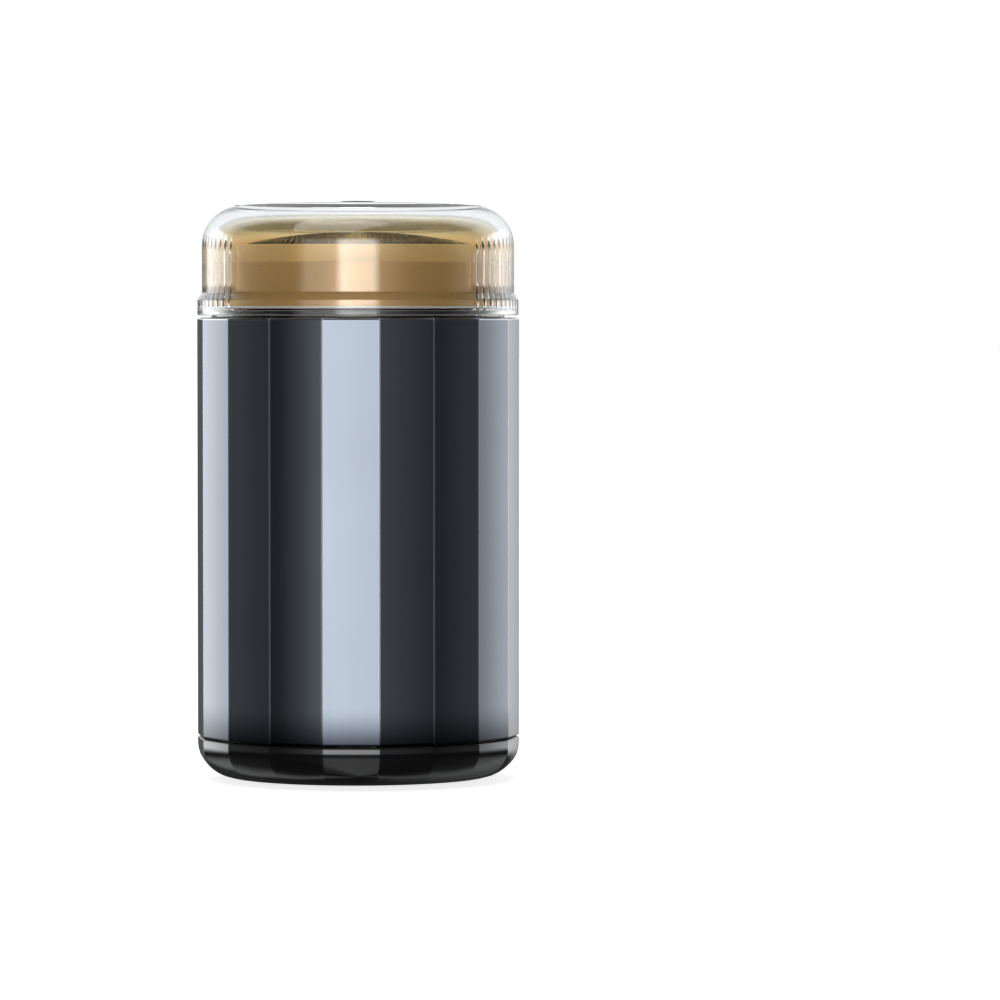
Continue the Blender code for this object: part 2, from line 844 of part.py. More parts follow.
def add_fins(shape):
    """Upright blades whose top edges follow the underside of the foil."""
    steps = 4
    inner, outer = BLADE_R
    outer -= 0.3
    for number in range(BLADES):
        turn = 2.0 * math.pi * number / BLADES
        along = Vector((math.cos(turn), math.sin(turn), 0.0))
        across = Vector((-math.sin(turn), math.cos(turn), 0.0)) * (BLADE_THICK / 2.0)
        outline = [(inner, BLADE_DISC_Z + 0.3), (outer, BLADE_DISC_Z + 0.3)]
        for step in range(steps + 1):
            radius = outer + (inner - outer) * step / steps
            outline.append((radius, dome_z(radius) - FOIL_THICK - 0.35))
        rings = []
        for side in (-1.0, 1.0):
            points = [along * r + across * side + Vector((0.0, 0.0, z)) for r, z in outline]
            rings.append([shape.verts.new(point * MM) for point in points])
        shape.faces.new(rings[0])
        shape.faces.new(rings[1])
        for i in range(len(outline)):
            j = (i + 1) % len(outline)
            shape.faces.new((rings[0][i], rings[0][j], rings[1][j], rings[1][i]))


# ---------------------------------------------------------------- cap


def cap_layer(name, look, outer_r, wall, edge_z, top_z, skirt):
    """One layer of the cap: a cup whose corner is rounded and whose top is slightly crowned."""
    corner = CAP_CORNER - (CAP_R - outer_r)
    outer = arc(outer_r - corner, edge_z - corner, corner, 80.0, 0.0, CAP_CORNER_STEPS)
    inner_corner = corner - wall
    inner = arc(outer_r - corner, edge_z - corner, inner_corner, 0.0, 80.0, CAP_CORNER_STEPS)
    profile = [(0.0, top_z)] + outer + skirt + inner + [(0.0, top_z - wall)]
    return turned(name, profile, look, steps=48)


def make_cap():
    """Clear outer cup with a wider rim, and the amber cup inside it."""
    foot_z = SHELL_TOP_Z + GAP
    cap_layer(
        "cap_shell",
        "clear_plastic",
        CAP_R,
        CAP_WALL,
        CAP_EDGE_Z,
        CAP_TOP_Z,
        [
            (CAP_R, CAP_RIM_Z + 0.3),
            (CAP_RIM_R, CAP_RIM_Z - 0.1),
            (CAP_RIM_R, foot_z),
            (CAP_SEAT_R, foot_z),
            (CAP_SEAT_R, CAP_SEAT_Z - 0.2),
            (CAP_R - CAP_WALL, CAP_SEAT_Z),
        ],
    )
    liner_r = CAP_R - CAP_WALL - LINER_GAP
    drop = CAP_WALL + LINER_GAP
    cap_layer(
        "cap_liner",
        "amber_plastic",
        liner_r,
        LINER_WALL,
        CAP_EDGE_Z - drop,
        CAP_TOP_Z - drop,
        [(liner_r, LINER_Z), (liner_r - LINER_WALL, LINER_Z)],
    )


# ---------------------------------------------------------------- electronics


def make_board():
    """Circuit board behind the button, with its switch, light, chips and charging socket."""
    outer_y = PCB_Y + PCB_SIZE[1]
    middle_y = PCB_Y + PCB_SIZE[1] / 2.0
    solid("pcb", lambda s: add_box(s, (0.0, middle_y, PCB_Z), PCB_SIZE), "board_green")
    switch = solid(
        "tact_switch",
        lambda s: add_box(s, (0.0, outer_y + 0.7, BUTTON_Z), (5.2, 1.2, 5.2)),
        "chip_black",
    )
    plunger = solid(
        "switch_plunger",
        lambda s: add_rod(s, (0.0, outer_y + 1.5, BUTTON_Z), 1.4, 0.8, "Y", 16),
        None,
    )
    join(switch, plunger, "UNION")
    solid(
        "led", lambda s: add_box(s, (0.0, outer_y + 0.6, LED_Z), (1.6, 1.0, 1.6)), "light_lens"
    )
    lens = solid(
        "led_lens",
        lambda s: add_rod(s, (0.0, 18.7, LED_Z), 0.9, 3.8, "Y", 16),
        "light_lens",
    )
    flange = solid(
        "lens_flange", lambda s: add_rod(s, (0.0, 17.6, LED_Z), 1.8, 1.2, "Y", 16), None
    )
    join(lens, flange, "UNION")
    for name, z, size in (("control_chip", 36.0, 4.0), ("charge_chip", 28.0, 3.0)):
        solid(
            name,
            lambda s, z=z, size=size: add_box(s, (0.0, PCB_Y - 0.6, z), (size, 0.8, size)),
            "chip_black",
        )


def make_socket():
    """Charging socket, standing upright on the board: a thin metal sleeve with a tongue inside."""
    wall = 0.35
    back = PCB_Y + PCB_SIZE[1] + 0.1
    front = 20.35
    depth = front - back
    sleeve = solid(
        "usb_socket",
        lambda s: add_slot(s, (0.0, (front + back) / 2.0, USB_Z), USB_SIZE, depth),
        "steel",
    )
    inside = [side - 2.0 * wall for side in USB_SIZE]
    hollow = solid(
        "socket_hollow",
        lambda s: add_slot(s, (0.0, (front + back) / 2.0 + 0.8, USB_Z), inside, depth),
        None,
    )
    join(sleeve, hollow, "DIFFERENCE")
    length = depth - 1.6
    solid(
        "usb_tongue",
        lambda s: add_box(s, (0.0, back + 1.1 + length / 2.0, USB_Z), (0.7, length, 6.2)),
        "chip_black",
    )


def make_button():
    """Oblong button with a flange that keeps it behind the shell wall."""
    origin = (0.0, BUTTON_FACE_Y, BUTTON_Z)
    wide = [side + 2.0 for side in BUTTON_SIZE]
    button = solid(
        "power_button",
        lambda s: add_slot(s, (0.0, -1.6, 0.0), BUTTON_SIZE, 3.2, 8),
        "soft_black",
        origin,
    )
    flange = solid(
        "button_flange",
        lambda s: add_slot(s, (0.0, 17.75 - BUTTON_FACE_Y, 0.0), wide, 0.9),
        None,
        origin,
    )
    join(button, flange, "UNION")


def make_wires():
    """Leads from the cell and the motor to the board."""
    start_x = CELL_LENGTH / 2.0 + 0.8
    for side, ending, look in ((1.0, "pos", "wire_red"), (-1.0, "neg", "wire_black")):
        wire(
            f"battery_wire_{ending}",
            [
                (side * start_x, 0.6, CELL_Z + 4.5),
                (side * 14.6, 4.6, CELL_Z + 7.5),
                (side * 11.0, 9.4, CELL_Z + 7.0),
                (side * 8.2, PCB_Y - 0.5, CELL_Z + 4.0),
            ],
            0.4,
            look,
        )
        wire(
            f"motor_wire_{ending}",
            [
                (side * 5.5, 3.75, 25.7),
                (side * 5.2, 6.8, 25.3),
                (side * 4.8, 10.0, 26.2),
                (side * 4.6, PCB_Y - 0.5, 24.6),
            ],
            0.35,
            look,
        )


make_shell()
make_base()
make_chassis()
make_battery()
make_collar()
make_motor()
make_coupling()
make_head()
make_cutter()
make_cap()
make_board()
make_socket()
make_button()
make_wires()
bpy.context.view_layer.update()
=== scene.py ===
"""Looks of the pocket rotary shaver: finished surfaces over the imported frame, light and camera.

Lengths are in millimetres and angles in degrees until MM or math.radians turns them round.
"""

import json
import math
import bmesh
import bpy
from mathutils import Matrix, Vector


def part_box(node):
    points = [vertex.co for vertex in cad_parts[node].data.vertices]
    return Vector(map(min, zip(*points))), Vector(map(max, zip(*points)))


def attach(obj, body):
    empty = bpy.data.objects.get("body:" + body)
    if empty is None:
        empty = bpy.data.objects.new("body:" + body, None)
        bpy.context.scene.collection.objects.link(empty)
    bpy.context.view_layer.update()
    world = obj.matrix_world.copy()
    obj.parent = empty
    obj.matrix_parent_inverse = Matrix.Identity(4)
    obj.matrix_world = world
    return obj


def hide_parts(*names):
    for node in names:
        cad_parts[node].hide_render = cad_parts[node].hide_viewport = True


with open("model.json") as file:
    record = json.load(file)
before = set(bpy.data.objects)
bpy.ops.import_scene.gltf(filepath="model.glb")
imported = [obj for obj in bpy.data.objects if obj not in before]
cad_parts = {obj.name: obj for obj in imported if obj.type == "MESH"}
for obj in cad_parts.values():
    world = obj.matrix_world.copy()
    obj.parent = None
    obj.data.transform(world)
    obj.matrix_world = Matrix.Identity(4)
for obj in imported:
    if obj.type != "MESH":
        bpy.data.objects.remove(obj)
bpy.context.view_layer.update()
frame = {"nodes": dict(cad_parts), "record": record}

MM = 0.001
HOLD = 0.05  # straight kept beside a fillet, so that flats shade flat
SCENE = bpy.context.scene


def span(node):
    """Lowest and highest corner of a CAD node, in millimetres."""
    low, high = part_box(node)
    return low / MM, high / MM


# Body
SIDES = 18
HALF = 180.0 / SIDES
BODY_R = 21.0
EDGE_ROUND = 0.8
CROWN = 0.07
BORE_R = 18.9
SHELL_Z = (span("body_shell")[0].z, span("body_shell")[1].z)
BASE_Z = span("base_cover")[0].z
BASE_GAP = 0.15
BASE_FADE = 3.2
BASE_ROUND = 4.4
SPIGOT_R = (17.2, 18.6)
SPIGOT_RISE = 2.6
SCREW_DISC_R = 3.0
PAD_R = 12.4
PAD_DEPTH = 0.85
PAD_DISH = 0.25
COLLAR_Z = (span("collar")[0].z, span("collar")[1].z)
SHOULDER_R = 20.0
SHOULDER_Z = 60.0
LEDGE_Z = 58.7
COLLAR_R = 19.05
COLLAR_BORE_R = 3.6
COLLAR_FLOOR_Z = 57.4
CUP_R = 16.9
PLUG_R = 18.6
GROOVE_R = 17.9
GROOVE_Z = (57.1, 58.1)
COLLAR_SCREWS = (90.0, 210.0, 330.0)
SCREW_CIRCLE_R = 13.0
SCREW_HOLE_R = 1.1
SCREW_HOLE_Z = 56.6

# Head
RING_Z = (span("head_ring")[0].z, span("head_ring")[1].z)
RING_R = 18.3
RING_IN_R = 17.3
RING_TOP_R = (16.2, 16.6)
RING_LEDGE_Z = 67.4
RING_CHAMFER_Z = 67.15
FOIL_R = 15.95
FOIL_FLAT_R = 15.0
FOIL_RIM_Z = 69.4
FOIL_DOME = span("foil")[1].z - FOIL_RIM_Z
FOIL_FOOT_Z = span("foil")[0].z
FOIL_DISC_R = 2.9
SLOT_R = (13.75, 14.9)
SLOTS = 98
LAND = 0.2
SHEET = 0.14
FOIL_EDGE = 0.25
FOIL_ROWS = 14
CELLS_FROM_ROW = {0: 36, 3: 54, 6: 72, 10: 90}
SWIRL = 0.55
ROTOR_R = (4.6, 13.9)
ROTOR_Z = (63.7, 64.4)
BLADES = 30
BLADE_R = (5.2, 13.8)
BLADE_SWEEP = 10.0
BLADE_GAP = 0.55

# Cap
CAP_Z = (span("cap_shell")[0].z, span("cap_shell")[1].z)
CAP_R = 20.3
CAP_WALL = 1.25
CAP_IN_R = CAP_R - CAP_WALL
CAP_CROWN = 0.45
CAP_CORNER = 5.2
GATE_R = 2.1
GATE_DEPTH = 0.15
GATE_LIP = 0.14
RIM_R = 20.9
RIM_Z = 63.0
SEAT_R = 19.5
SEAT_Z = 61.2
LINER_Z = (span("cap_liner")[0].z, span("cap_liner")[1].z)
LINER_R = 18.93
LINER_WALL = 0.4
FLUTE_PITCH = 4.0
FLUTE_DEPTH = 0.5
FLUTE_REACH = 40.0
FLUTE_TOP_Z = 69.6

# Controls
BUTTON_Z = (span("power_button")[0].z + span("power_button")[1].z) / 2.0
BUTTON_SIZE = (5.4, 11.0)
BUTTON_FACE_Y = span("power_button")[1].y
LED_Z = (span("led")[0].z + span("led")[1].z) / 2.0
USB_Z = (span("usb_socket")[0].z + span("usb_socket")[1].z) / 2.0
USB_SIZE = (3.26, 8.94)
USB_Y = (span("usb_socket")[0].y, span("usb_socket")[1].y)

# Looks that depend on a place, in millimetres: painted shade that darkens the shell to black at its
# foot, a painted highlight along the shell's top edge, and where the amber tint pales; then the reach of
# the painted highlight line along each facet edge, in facet widths
PAINTED_SHADE_RISE = (-0.8, 5.2)
TOP_HIGHLIGHT_DROP = (0.32, 0.22)
PALE_Z = (69.2, 72.2)
PAINTED_EDGE_LINE = (0.010, 0.026)

# Overhead lamp, in metres and watts
LAMP_SIZE = 0.6
LAMP_POWER = 1.6
LAMP_AT = (-0.15, -0.25, 0.75)
LAMP_AIM = (0.0, 0.0, 0.04)

# Camera
VIEW_AZIMUTH = 2.6
VIEW_ELEVATION = 2.0
FRAME_WIDTH = 130.5
LENS = 200.0
SENSOR = 36.0
ASIDE = 18.5
AIM_Z = 36.2


# ---------------------------------------------------------------- mesh tools


def point(r, angle, z):
    turn = math.radians(angle)
    return Vector((r * math.cos(turn), r * math.sin(turn), z)) * MM


def filleted(corners, steps=4):
    """Round a path. Each corner is (r, z) or (r, z, fillet radius)."""
    path = []
    for i, corner in enumerate(corners):
        here = Vector(corner[:2])
        size = corner[2] if len(corner) > 2 else 0.0
        if not size or i in (0, len(corners) - 1):
            path.append(tuple(here))
            continue
        before = (Vector(corners[i - 1][:2]) - here).normalized()
        after = (Vector(corners[i + 1][:2]) - here).normalized()
        half = before.angle(after) / 2.0
        reach = size / math.tan(half)
        centre = here + (before + after).normalized() * (size / math.sin(half))
        start = here + before * reach - centre
        end = here + after * reach - centre
        sweep = start.angle_signed(end)
        path.append(tuple(here + before * (reach + HOLD)))
        for step in range(steps + 1):
            turn = -sweep * step / steps
            path.append(
                (
                    centre.x + start.x * math.cos(turn) - start.y * math.sin(turn),
                    centre.y + start.x * math.sin(turn) + start.y * math.cos(turn),
                )
            )
        path.append(tuple(here + after * (reach + HOLD)))
    return path


def even_angles(count):
    return [360.0 * i / count for i in range(count)]


def facet_angles():
    """Directions that follow the facets closely at their rounded edges."""
    tangent = edge_start()
    inside = [-tangent + 0.4, -6.0, -3.0, 0.0, 3.0, 6.0, tangent - 0.4]
    angles = []
    for side in range(SIDES):
        middle = -90.0 + 2.0 * HALF * side
        angles += [middle - tangent] + [middle + off for off in inside] + [middle + tangent]
        angles += [middle + HALF - (HALF - tangent) / 3.0, middle + HALF + (HALF - tangent) / 3.0]
    return angles


def edge_start():
    """Angle from a facet's middle to where its rounded edge starts."""
    apothem = BODY_R * math.cos(math.radians(HALF))
    reach = (apothem - EDGE_ROUND) * math.tan(math.radians(HALF))
    return math.degrees(math.atan2(reach, apothem))


def facet_scale(angle):
    """Radius of the faceted outline over its corner radius, in one direction."""
    apothem = BODY_R * math.cos(math.radians(HALF))
    off = abs((angle + 90.0 + HALF) % (2.0 * HALF) - HALF)
    tangent = edge_start()
    if off <= tangent:
        bulge = CROWN * (1.0 - (off / tangent) ** 2)
        return (apothem / math.cos(math.radians(off)) + bulge) / BODY_R
    lever = (apothem - EDGE_ROUND) / math.cos(math.radians(HALF))
    beta = math.radians(HALF - off)
    across = lever * math.sin(beta)
    return (lever * math.cos(beta) + math.sqrt(EDGE_ROUND**2 - across**2)) / BODY_R


def finish_mesh(name, shape, smooth=True, sharp=None):
    """Make an object from a bmesh, with faces out and edges over an angle kept sharp."""
    bmesh.ops.recalc_face_normals(shape, faces=shape.faces)
    for face in shape.faces:
        face.smooth = smooth
    if sharp is not None:
        for edge in shape.edges:
            if len(edge.link_faces) == 2 and edge.calc_face_angle(0.0) > math.radians(sharp):
                edge.smooth = False
    data = bpy.data.meshes.new(name)
    shape.to_mesh(data)
    shape.free()
    made = bpy.data.objects.new(name, data)
    SCENE.collection.objects.link(made)
    return made


def loft_into(shape, path, angles, radius_at=None, loop=True):
    """Skin a path of (r, z) round the axis. Points on the axis close the ends."""
    rings = []
    for r, z in path:
        if r < 1e-6:
            rings.append([shape.verts.new(point(0.0, 0.0, z))])
            continue
        ring = []
        for angle in angles:
            reach = radius_at(r, z, angle) if radius_at else r
            ring.append(shape.verts.new(point(reach, angle, z)))
        rings.append(ring)
    pairs = list(zip(rings, rings[1:]))
    if loop:
        pairs.append((rings[-1], rings[0]))
    count = len(angles)
    for first, second in pairs:
        for i in range(count):
            j = (i + 1) % count
            corners = [first[i % len(first)], first[j % len(first)]]
            corners += [second[j % len(second)], second[i % len(second)]]
            unique = list(dict.fromkeys(corners))
            if len(unique) > 2:
                shape.faces.new(unique)


def lofted(name, path, angles, radius_at=None, loop=True, sharp=None):
    shape = bmesh.new()
    loft_into(shape, path, angles, radius_at, loop)
    return finish_mesh(name, shape, sharp=sharp)


def oblong_into(shape, centre, size, sections, steps=14):
    """Add an oblong body along Y. Each section is (y, inset from the outline)."""
    width, height = size
    rings = []
    for y, inset in sections:
        radius = max(width / 2.0 - inset, 0.02)
        straight = (height - width) / 2.0
        ring = []
        for side, start in ((1.0, 0.0), (-1.0, 180.0)):
            for step in range(steps + 1):
                turn = math.radians(start + 180.0 * step / steps)
                x = radius * math.cos(turn)
                z = side * straight + radius * math.sin(turn)
                ring.append(shape.verts.new((Vector(centre) + Vector((x, y, z))) * MM))
        rings.append(ring)
    for first, second in zip(rings, rings[1:]):
        for i in range(len(first)):
            j = (i + 1) % len(first)
            shape.faces.new((first[i], first[j], second[j], second[i]))
    shape.faces.new(rings[0])
    shape.faces.new(rings[-1])


def cut(piece, add, name):
    """Take away the closed bodies that a function adds to a bmesh."""
    shape = bmesh.new()
    add(shape)
    tool = finish_mesh(name, shape)
    boolean = piece.modifiers.new("cut", "BOOLEAN")
    boolean.operation = "DIFFERENCE"
    boolean.solver = "EXACT"
    boolean.object = tool
    settle(piece)
    bpy.data.objects.remove(tool)


def settle(piece):
    """Apply a piece's modifiers."""
    graph = bpy.context.evaluated_depsgraph_get()
    data = bpy.data.meshes.new_from_object(piece.evaluated_get(graph))
    piece.modifiers.clear()
    piece.data = data


def keep_sharp(piece, angle):
    """Smooth shading with edges over an angle kept sharp."""
    shape = bmesh.new()
    shape.from_mesh(piece.data)
    for face in shape.faces:
        face.smooth = True
    for edge in shape.edges:
        if len(edge.link_faces) == 2:
            edge.smooth = edge.calc_face_angle(0.0) <= math.radians(angle)
    shape.to_mesh(piece.data)
    shape.free()


def place(piece, body, slot, look, *nodes):
    """Give a piece its material and body, and hide the CAD nodes that it stands for. The slot argument
    is not used.
    """
    piece.data.materials.clear()
    piece.data.materials.append(look)
    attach(piece, body)
    if nodes:
        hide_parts(*nodes)
    return piece


# ---------------------------------------------------------------- materials


class Recipe:
    """A material under construction: its tree, its shader and short ways to add nodes."""

    def __init__(self, name):
        self.material = bpy.data.materials.new(name)
        self.material.use_nodes = True
        self.tree = self.material.node_tree
        self.shader = self.tree.nodes["Principled BSDF"]
        self.where = self.add("ShaderNodeTexCoord").outputs["Object"]

    def add(self, kind, **settings):
        node = self.tree.nodes.new(kind)
        for key, value in settings.items():
            setattr(node, key, value)
        return node

    def link(self, source, target):
        self.tree.links.new(source, target)

    def set(self, **sockets):
        for key, value in sockets.items():
            self.shader.inputs[key.replace("_", " ")].default_value = value

    def stretched(self, scale):
        node = self.add("ShaderNodeMapping")
        node.inputs["Scale"].default_value = scale
        self.link(self.where, node.inputs["Vector"])
        return node.outputs["Vector"]

    def noise(self, scale, detail=3.0, vector=None):
        node = self.add("ShaderNodeTexNoise")
        node.inputs["Scale"].default_value = scale
        node.inputs["Detail"].default_value = detail
        self.link(vector or self.where, node.inputs["Vector"])
        return node.outputs["Fac"]

    def ramp(self, source, from_low, from_high, to_low, to_high):
        node = self.add("ShaderNodeMapRange")
        for socket, value in zip(node.inputs[1:5], (from_low, from_high, to_low, to_high)):
            socket.default_value = value
        self.link(source, node.inputs["Value"])
        return node.outputs["Result"]

    def mix(self, factor, first, second):
        node = self.add("ShaderNodeMix", data_type="RGBA")
        node.inputs["A"].default_value = (*first, 1.0)
        node.inputs["B"].default_value = (*second, 1.0)
        self.link(factor, node.inputs["Factor"])
        return node.outputs["Result"]

    def height(self):
        node = self.add("ShaderNodeSeparateXYZ")
        self.link(self.where, node.inputs[0])
        return node.outputs["Z"]

    def bump(self, source, strength, distance=0.0001):
        node = self.add("ShaderNodeBump")
        node.inputs["Strength"].default_value = strength
        node.inputs["Distance"].default_value = distance
        self.link(source, node.inputs["Height"])
        self.link(node.outputs["Normal"], self.shader.inputs["Normal"])


def moulded(name, colour, roughness, grain=2500.0, bump=0.15, vary=0.08, metallic=0.0):
    """Moulded or cast material: slightly uneven colour, roughness and surface."""
    recipe = Recipe(name)
    recipe.set(Metallic=metallic)
    cloud = recipe.noise(180.0)
    darker = tuple(c * (1.0 - vary) for c in colour)
    recipe.link(recipe.mix(cloud, darker, colour), recipe.shader.inputs["Base Color"])
    fine = recipe.noise(grain, 2.0)
    spread = recipe.ramp(fine, 0.3, 0.7, roughness * 0.85, min(roughness * 1.15, 1.0))
    recipe.link(spread, recipe.shader.inputs["Roughness"])
    recipe.bump(fine, bump, 0.00002)
    return recipe


def brushed(name, colour, roughness, along, metallic=1.0):
    """Metal with fine lines along one direction."""
    recipe = Recipe(name)
    recipe.set(Metallic=metallic)
    scale = tuple(60.0 if axis == along else 4000.0 for axis in "XYZ")
    lines = recipe.noise(1.0, 2.0, recipe.stretched(scale))
    darker = tuple(c * 0.9 for c in colour)
    recipe.link(recipe.mix(lines, darker, colour), recipe.shader.inputs["Base Color"])
    spread = recipe.ramp(lines, 0.3, 0.7, roughness * 0.75, roughness * 1.25)
    recipe.link(spread, recipe.shader.inputs["Roughness"])
    recipe.bump(lines, 0.04, 0.00001)
    return recipe


def painted_edge_highlight_mask(recipe):
    """1 on the fine painted highlight line along each facet edge, 0 on the facets."""
    parts = recipe.add("ShaderNodeSeparateXYZ")
    recipe.link(recipe.where, parts.inputs[0])
    turn = recipe.add("ShaderNodeMath", operation="ARCTAN2")
    recipe.link(parts.outputs["Y"], turn.inputs[0])
    recipe.link(parts.outputs["X"], turn.inputs[1])
    share = recipe.add("ShaderNodeMath", operation="MULTIPLY_ADD")
    share.inputs[1].default_value = SIDES / (2.0 * math.pi)
    share.inputs[2].default_value = SIDES + SIDES / 4.0
    recipe.link(turn.outputs[0], share.inputs[0])
    within = recipe.add("ShaderNodeMath", operation="FRACT")
    recipe.link(share.outputs[0], within.inputs[0])
    away = recipe.add("ShaderNodeMath", operation="SUBTRACT")
    away.inputs[1].default_value = 0.5
    recipe.link(within.outputs[0], away.inputs[0])
    off = recipe.add("ShaderNodeMath", operation="ABSOLUTE")
    recipe.link(away.outputs[0], off.inputs[0])
    mask = recipe.add("ShaderNodeMapRange", interpolation_type="SMOOTHSTEP")
    for socket, value in zip(mask.inputs[1:5], (*PAINTED_EDGE_LINE, 1.0, 0.0)):
        socket.default_value = value
    recipe.link(off.outputs[0], mask.inputs["Value"])
    return mask.outputs["Result"]


def shell_look():
    """Dark blue-grey gloss metal, with painted highlights along the facet edges and the top edge (brow),
    and painted shade darkening it to black towards the base.
    """
    recipe = Recipe("shell_gloss")
    recipe.set(Metallic=1.0)
    low, high = SHELL_Z
    # Painted shade: the colour darkens to near black towards the foot of the shell.
    fade = recipe.add("ShaderNodeMapRange", interpolation_type="SMOOTHSTEP")
    fade.inputs[1].default_value = (low + PAINTED_SHADE_RISE[0]) * MM
    fade.inputs[2].default_value = (low + PAINTED_SHADE_RISE[1]) * MM
    recipe.link(recipe.height(), fade.inputs["Value"])
    cloud = recipe.noise(60.0, 2.0)
    body = recipe.mix(cloud, (0.110, 0.1225, 0.142), (0.124, 0.138, 0.159))
    # Near-black painted shade colour at the foot of the shell.
    painted_shade_mix = recipe.add("ShaderNodeMix", data_type="RGBA")
    painted_shade_mix.inputs["A"].default_value = (0.010, 0.012, 0.016, 1.0)
    # Painted highlight: a lighter blue-grey line along each facet edge.
    edge_highlighted = recipe.add("ShaderNodeMix", data_type="RGBA")
    edge_highlighted.inputs["B"].default_value = (0.30, 0.33, 0.38, 1.0)
    recipe.link(body, edge_highlighted.inputs["A"])
    recipe.link(painted_edge_highlight_mask(recipe), edge_highlighted.inputs["Factor"])
    # Painted highlight: a pale band along the shell's top edge.
    top_highlight_z = [(high - drop) * MM for drop in TOP_HIGHLIGHT_DROP]
    painted_top_highlight = recipe.ramp(recipe.height(), *top_highlight_z, 0.0, 1.0)
    top_highlighted = recipe.add("ShaderNodeMix", data_type="RGBA")
    top_highlighted.inputs["B"].default_value = (0.55, 0.57, 0.61, 1.0)
    recipe.link(edge_highlighted.outputs["Result"], top_highlighted.inputs["A"])
    recipe.link(painted_top_highlight, top_highlighted.inputs["Factor"])
    recipe.link(top_highlighted.outputs["Result"], painted_shade_mix.inputs["B"])
    recipe.link(fade.outputs["Result"], painted_shade_mix.inputs["Factor"])
    recipe.link(painted_shade_mix.outputs["Result"], recipe.shader.inputs["Base Color"])
    streaks = recipe.noise(1.0, 2.0, recipe.stretched((900.0, 900.0, 25.0)))
    rough = recipe.add("ShaderNodeMath", operation="MULTIPLY_ADD")
    rough.inputs[1].default_value = 0.33
    recipe.link(painted_edge_highlight_mask(recipe), rough.inputs[0])
    recipe.link(recipe.ramp(streaks, 0.3, 0.7, 0.09, 0.13), rough.inputs[2])
    recipe.link(rough.outputs[0], recipe.shader.inputs["Roughness"])
    recipe.bump(streaks, 0.02, 0.00001)
    return recipe.material


def gloss_black_look():
    recipe = moulded("gloss_black_plastic", (0.005, 0.005, 0.006), 0.12, bump=0.02)
    recipe.set(Coat_Weight=0.3, Coat_Roughness=0.05)
    return recipe.material


def ring_look():
    """Satin silver-white ring."""
    recipe = moulded("silver_white_satin", (0.72, 0.725, 0.74), 0.32, bump=0.03, vary=0.02, metallic=0.3)
    recipe.set(Coat_Weight=0.25, Coat_Roughness=0.12)
    return recipe.material


def clear_look():
    recipe = Recipe("clear_moulding")
    recipe.set(Transmission_Weight=1.0, IOR=1.49, Roughness=0.012)
    tint = recipe.mix(recipe.noise(90.0), (0.955, 0.965, 0.955), (0.985, 0.990, 0.985))
    recipe.link(tint, recipe.shader.inputs["Base Color"])
    recipe.bump(recipe.noise(90.0, 1.0), 0.03, 0.00002)
    return recipe.material


def amber_look():
    """Amber tint that pales towards the crown of the cap."""
    recipe = Recipe("amber_moulding")
    recipe.set(Transmission_Weight=1.0, IOR=1.49, Roughness=0.02)
    rise = recipe.ramp(recipe.height(), *(z * MM for z in PALE_Z), 0.0, 1.0)
    tint = recipe.mix(rise, (0.80, 0.56, 0.24), (0.99, 0.93, 0.74))
    recipe.link(tint, recipe.shader.inputs["Base Color"])
    recipe.bump(recipe.noise(70.0, 1.0), 0.03, 0.00002)
    return recipe.material


def lens_look():
    recipe = moulded("light_pipe", (0.86, 0.87, 0.85), 0.18, bump=0.05)
    recipe.set(Transmission_Weight=0.35, Subsurface_Weight=0.2)
    return recipe.material


def board_look():
    """Green board with faint tracks under the mask."""
    recipe = Recipe("board_mask")
    tracks = recipe.add("ShaderNodeTexBrick")
    tracks.inputs["Scale"].default_value = 420.0
    tracks.inputs["Mortar Size"].default_value = 0.04
    tracks.inputs["Color1"].default_value = (0.012, 0.130, 0.050, 1.0)
    tracks.inputs["Color2"].default_value = (0.014, 0.150, 0.058, 1.0)
    tracks.inputs["Mortar"].default_value = (0.030, 0.240, 0.100, 1.0)
    recipe.link(recipe.where, tracks.inputs["Vector"])
    recipe.link(tracks.outputs["Color"], recipe.shader.inputs["Base Color"])
    recipe.set(Roughness=0.35)
    recipe.bump(tracks.outputs["Fac"], 0.1, 0.00005)
    return recipe.material


def pad_look():
    """Rubber with a fine pebble."""
    recipe = Recipe("pad_rubber")
    cells = recipe.add("ShaderNodeTexVoronoi")
    cells.inputs["Scale"].default_value = 1400.0
    recipe.link(recipe.where, cells.inputs["Vector"])
    tone = recipe.mix(cells.outputs["Distance"], (0.030, 0.030, 0.032), (0.055, 0.055, 0.058))
    recipe.link(tone, recipe.shader.inputs["Base Color"])
    recipe.set(Roughness=0.75)
    recipe.bump(cells.outputs["Distance"], 0.3, 0.00005)
    return recipe.material


LOOKS = {
    "shell_metal": shell_look(),
    "gloss_black": gloss_black_look(),
    "soft_black": moulded("soft_black_plastic", (0.022, 0.022, 0.024), 0.45).material,
    "rubber_grey": pad_look(),
    "silver_white": ring_look(),
    "steel": brushed("bright_steel", (0.66, 0.67, 0.69), 0.24, "Z").material,
    "brass": brushed("terminal_brass", (0.68, 0.50, 0.22), 0.28, "X").material,
    "copper_red": brushed("lacquered_copper", (0.55, 0.20, 0.09), 0.35, "Z").material,
    "magnet": moulded("sintered_magnet", (0.10, 0.10, 0.11), 0.5, metallic=0.6).material,
    "cell_wrap": moulded("shrink_wrap", (0.030, 0.120, 0.340), 0.32).material,
    "board_green": board_look(),
    "chip_black": moulded("chip_epoxy", (0.016, 0.016, 0.017), 0.5).material,
    "light_lens": lens_look(),
    "wire_red": moulded("red_insulation", (0.45, 0.018, 0.018), 0.45).material,
    "wire_black": moulded("black_insulation", (0.014, 0.014, 0.014), 0.45).material,
    "clear_plastic": clear_look(),
    "amber_plastic": amber_look(),
    "hub_grey": moulded("hub_plastic", (0.17, 0.175, 0.185), 0.42).material,
}
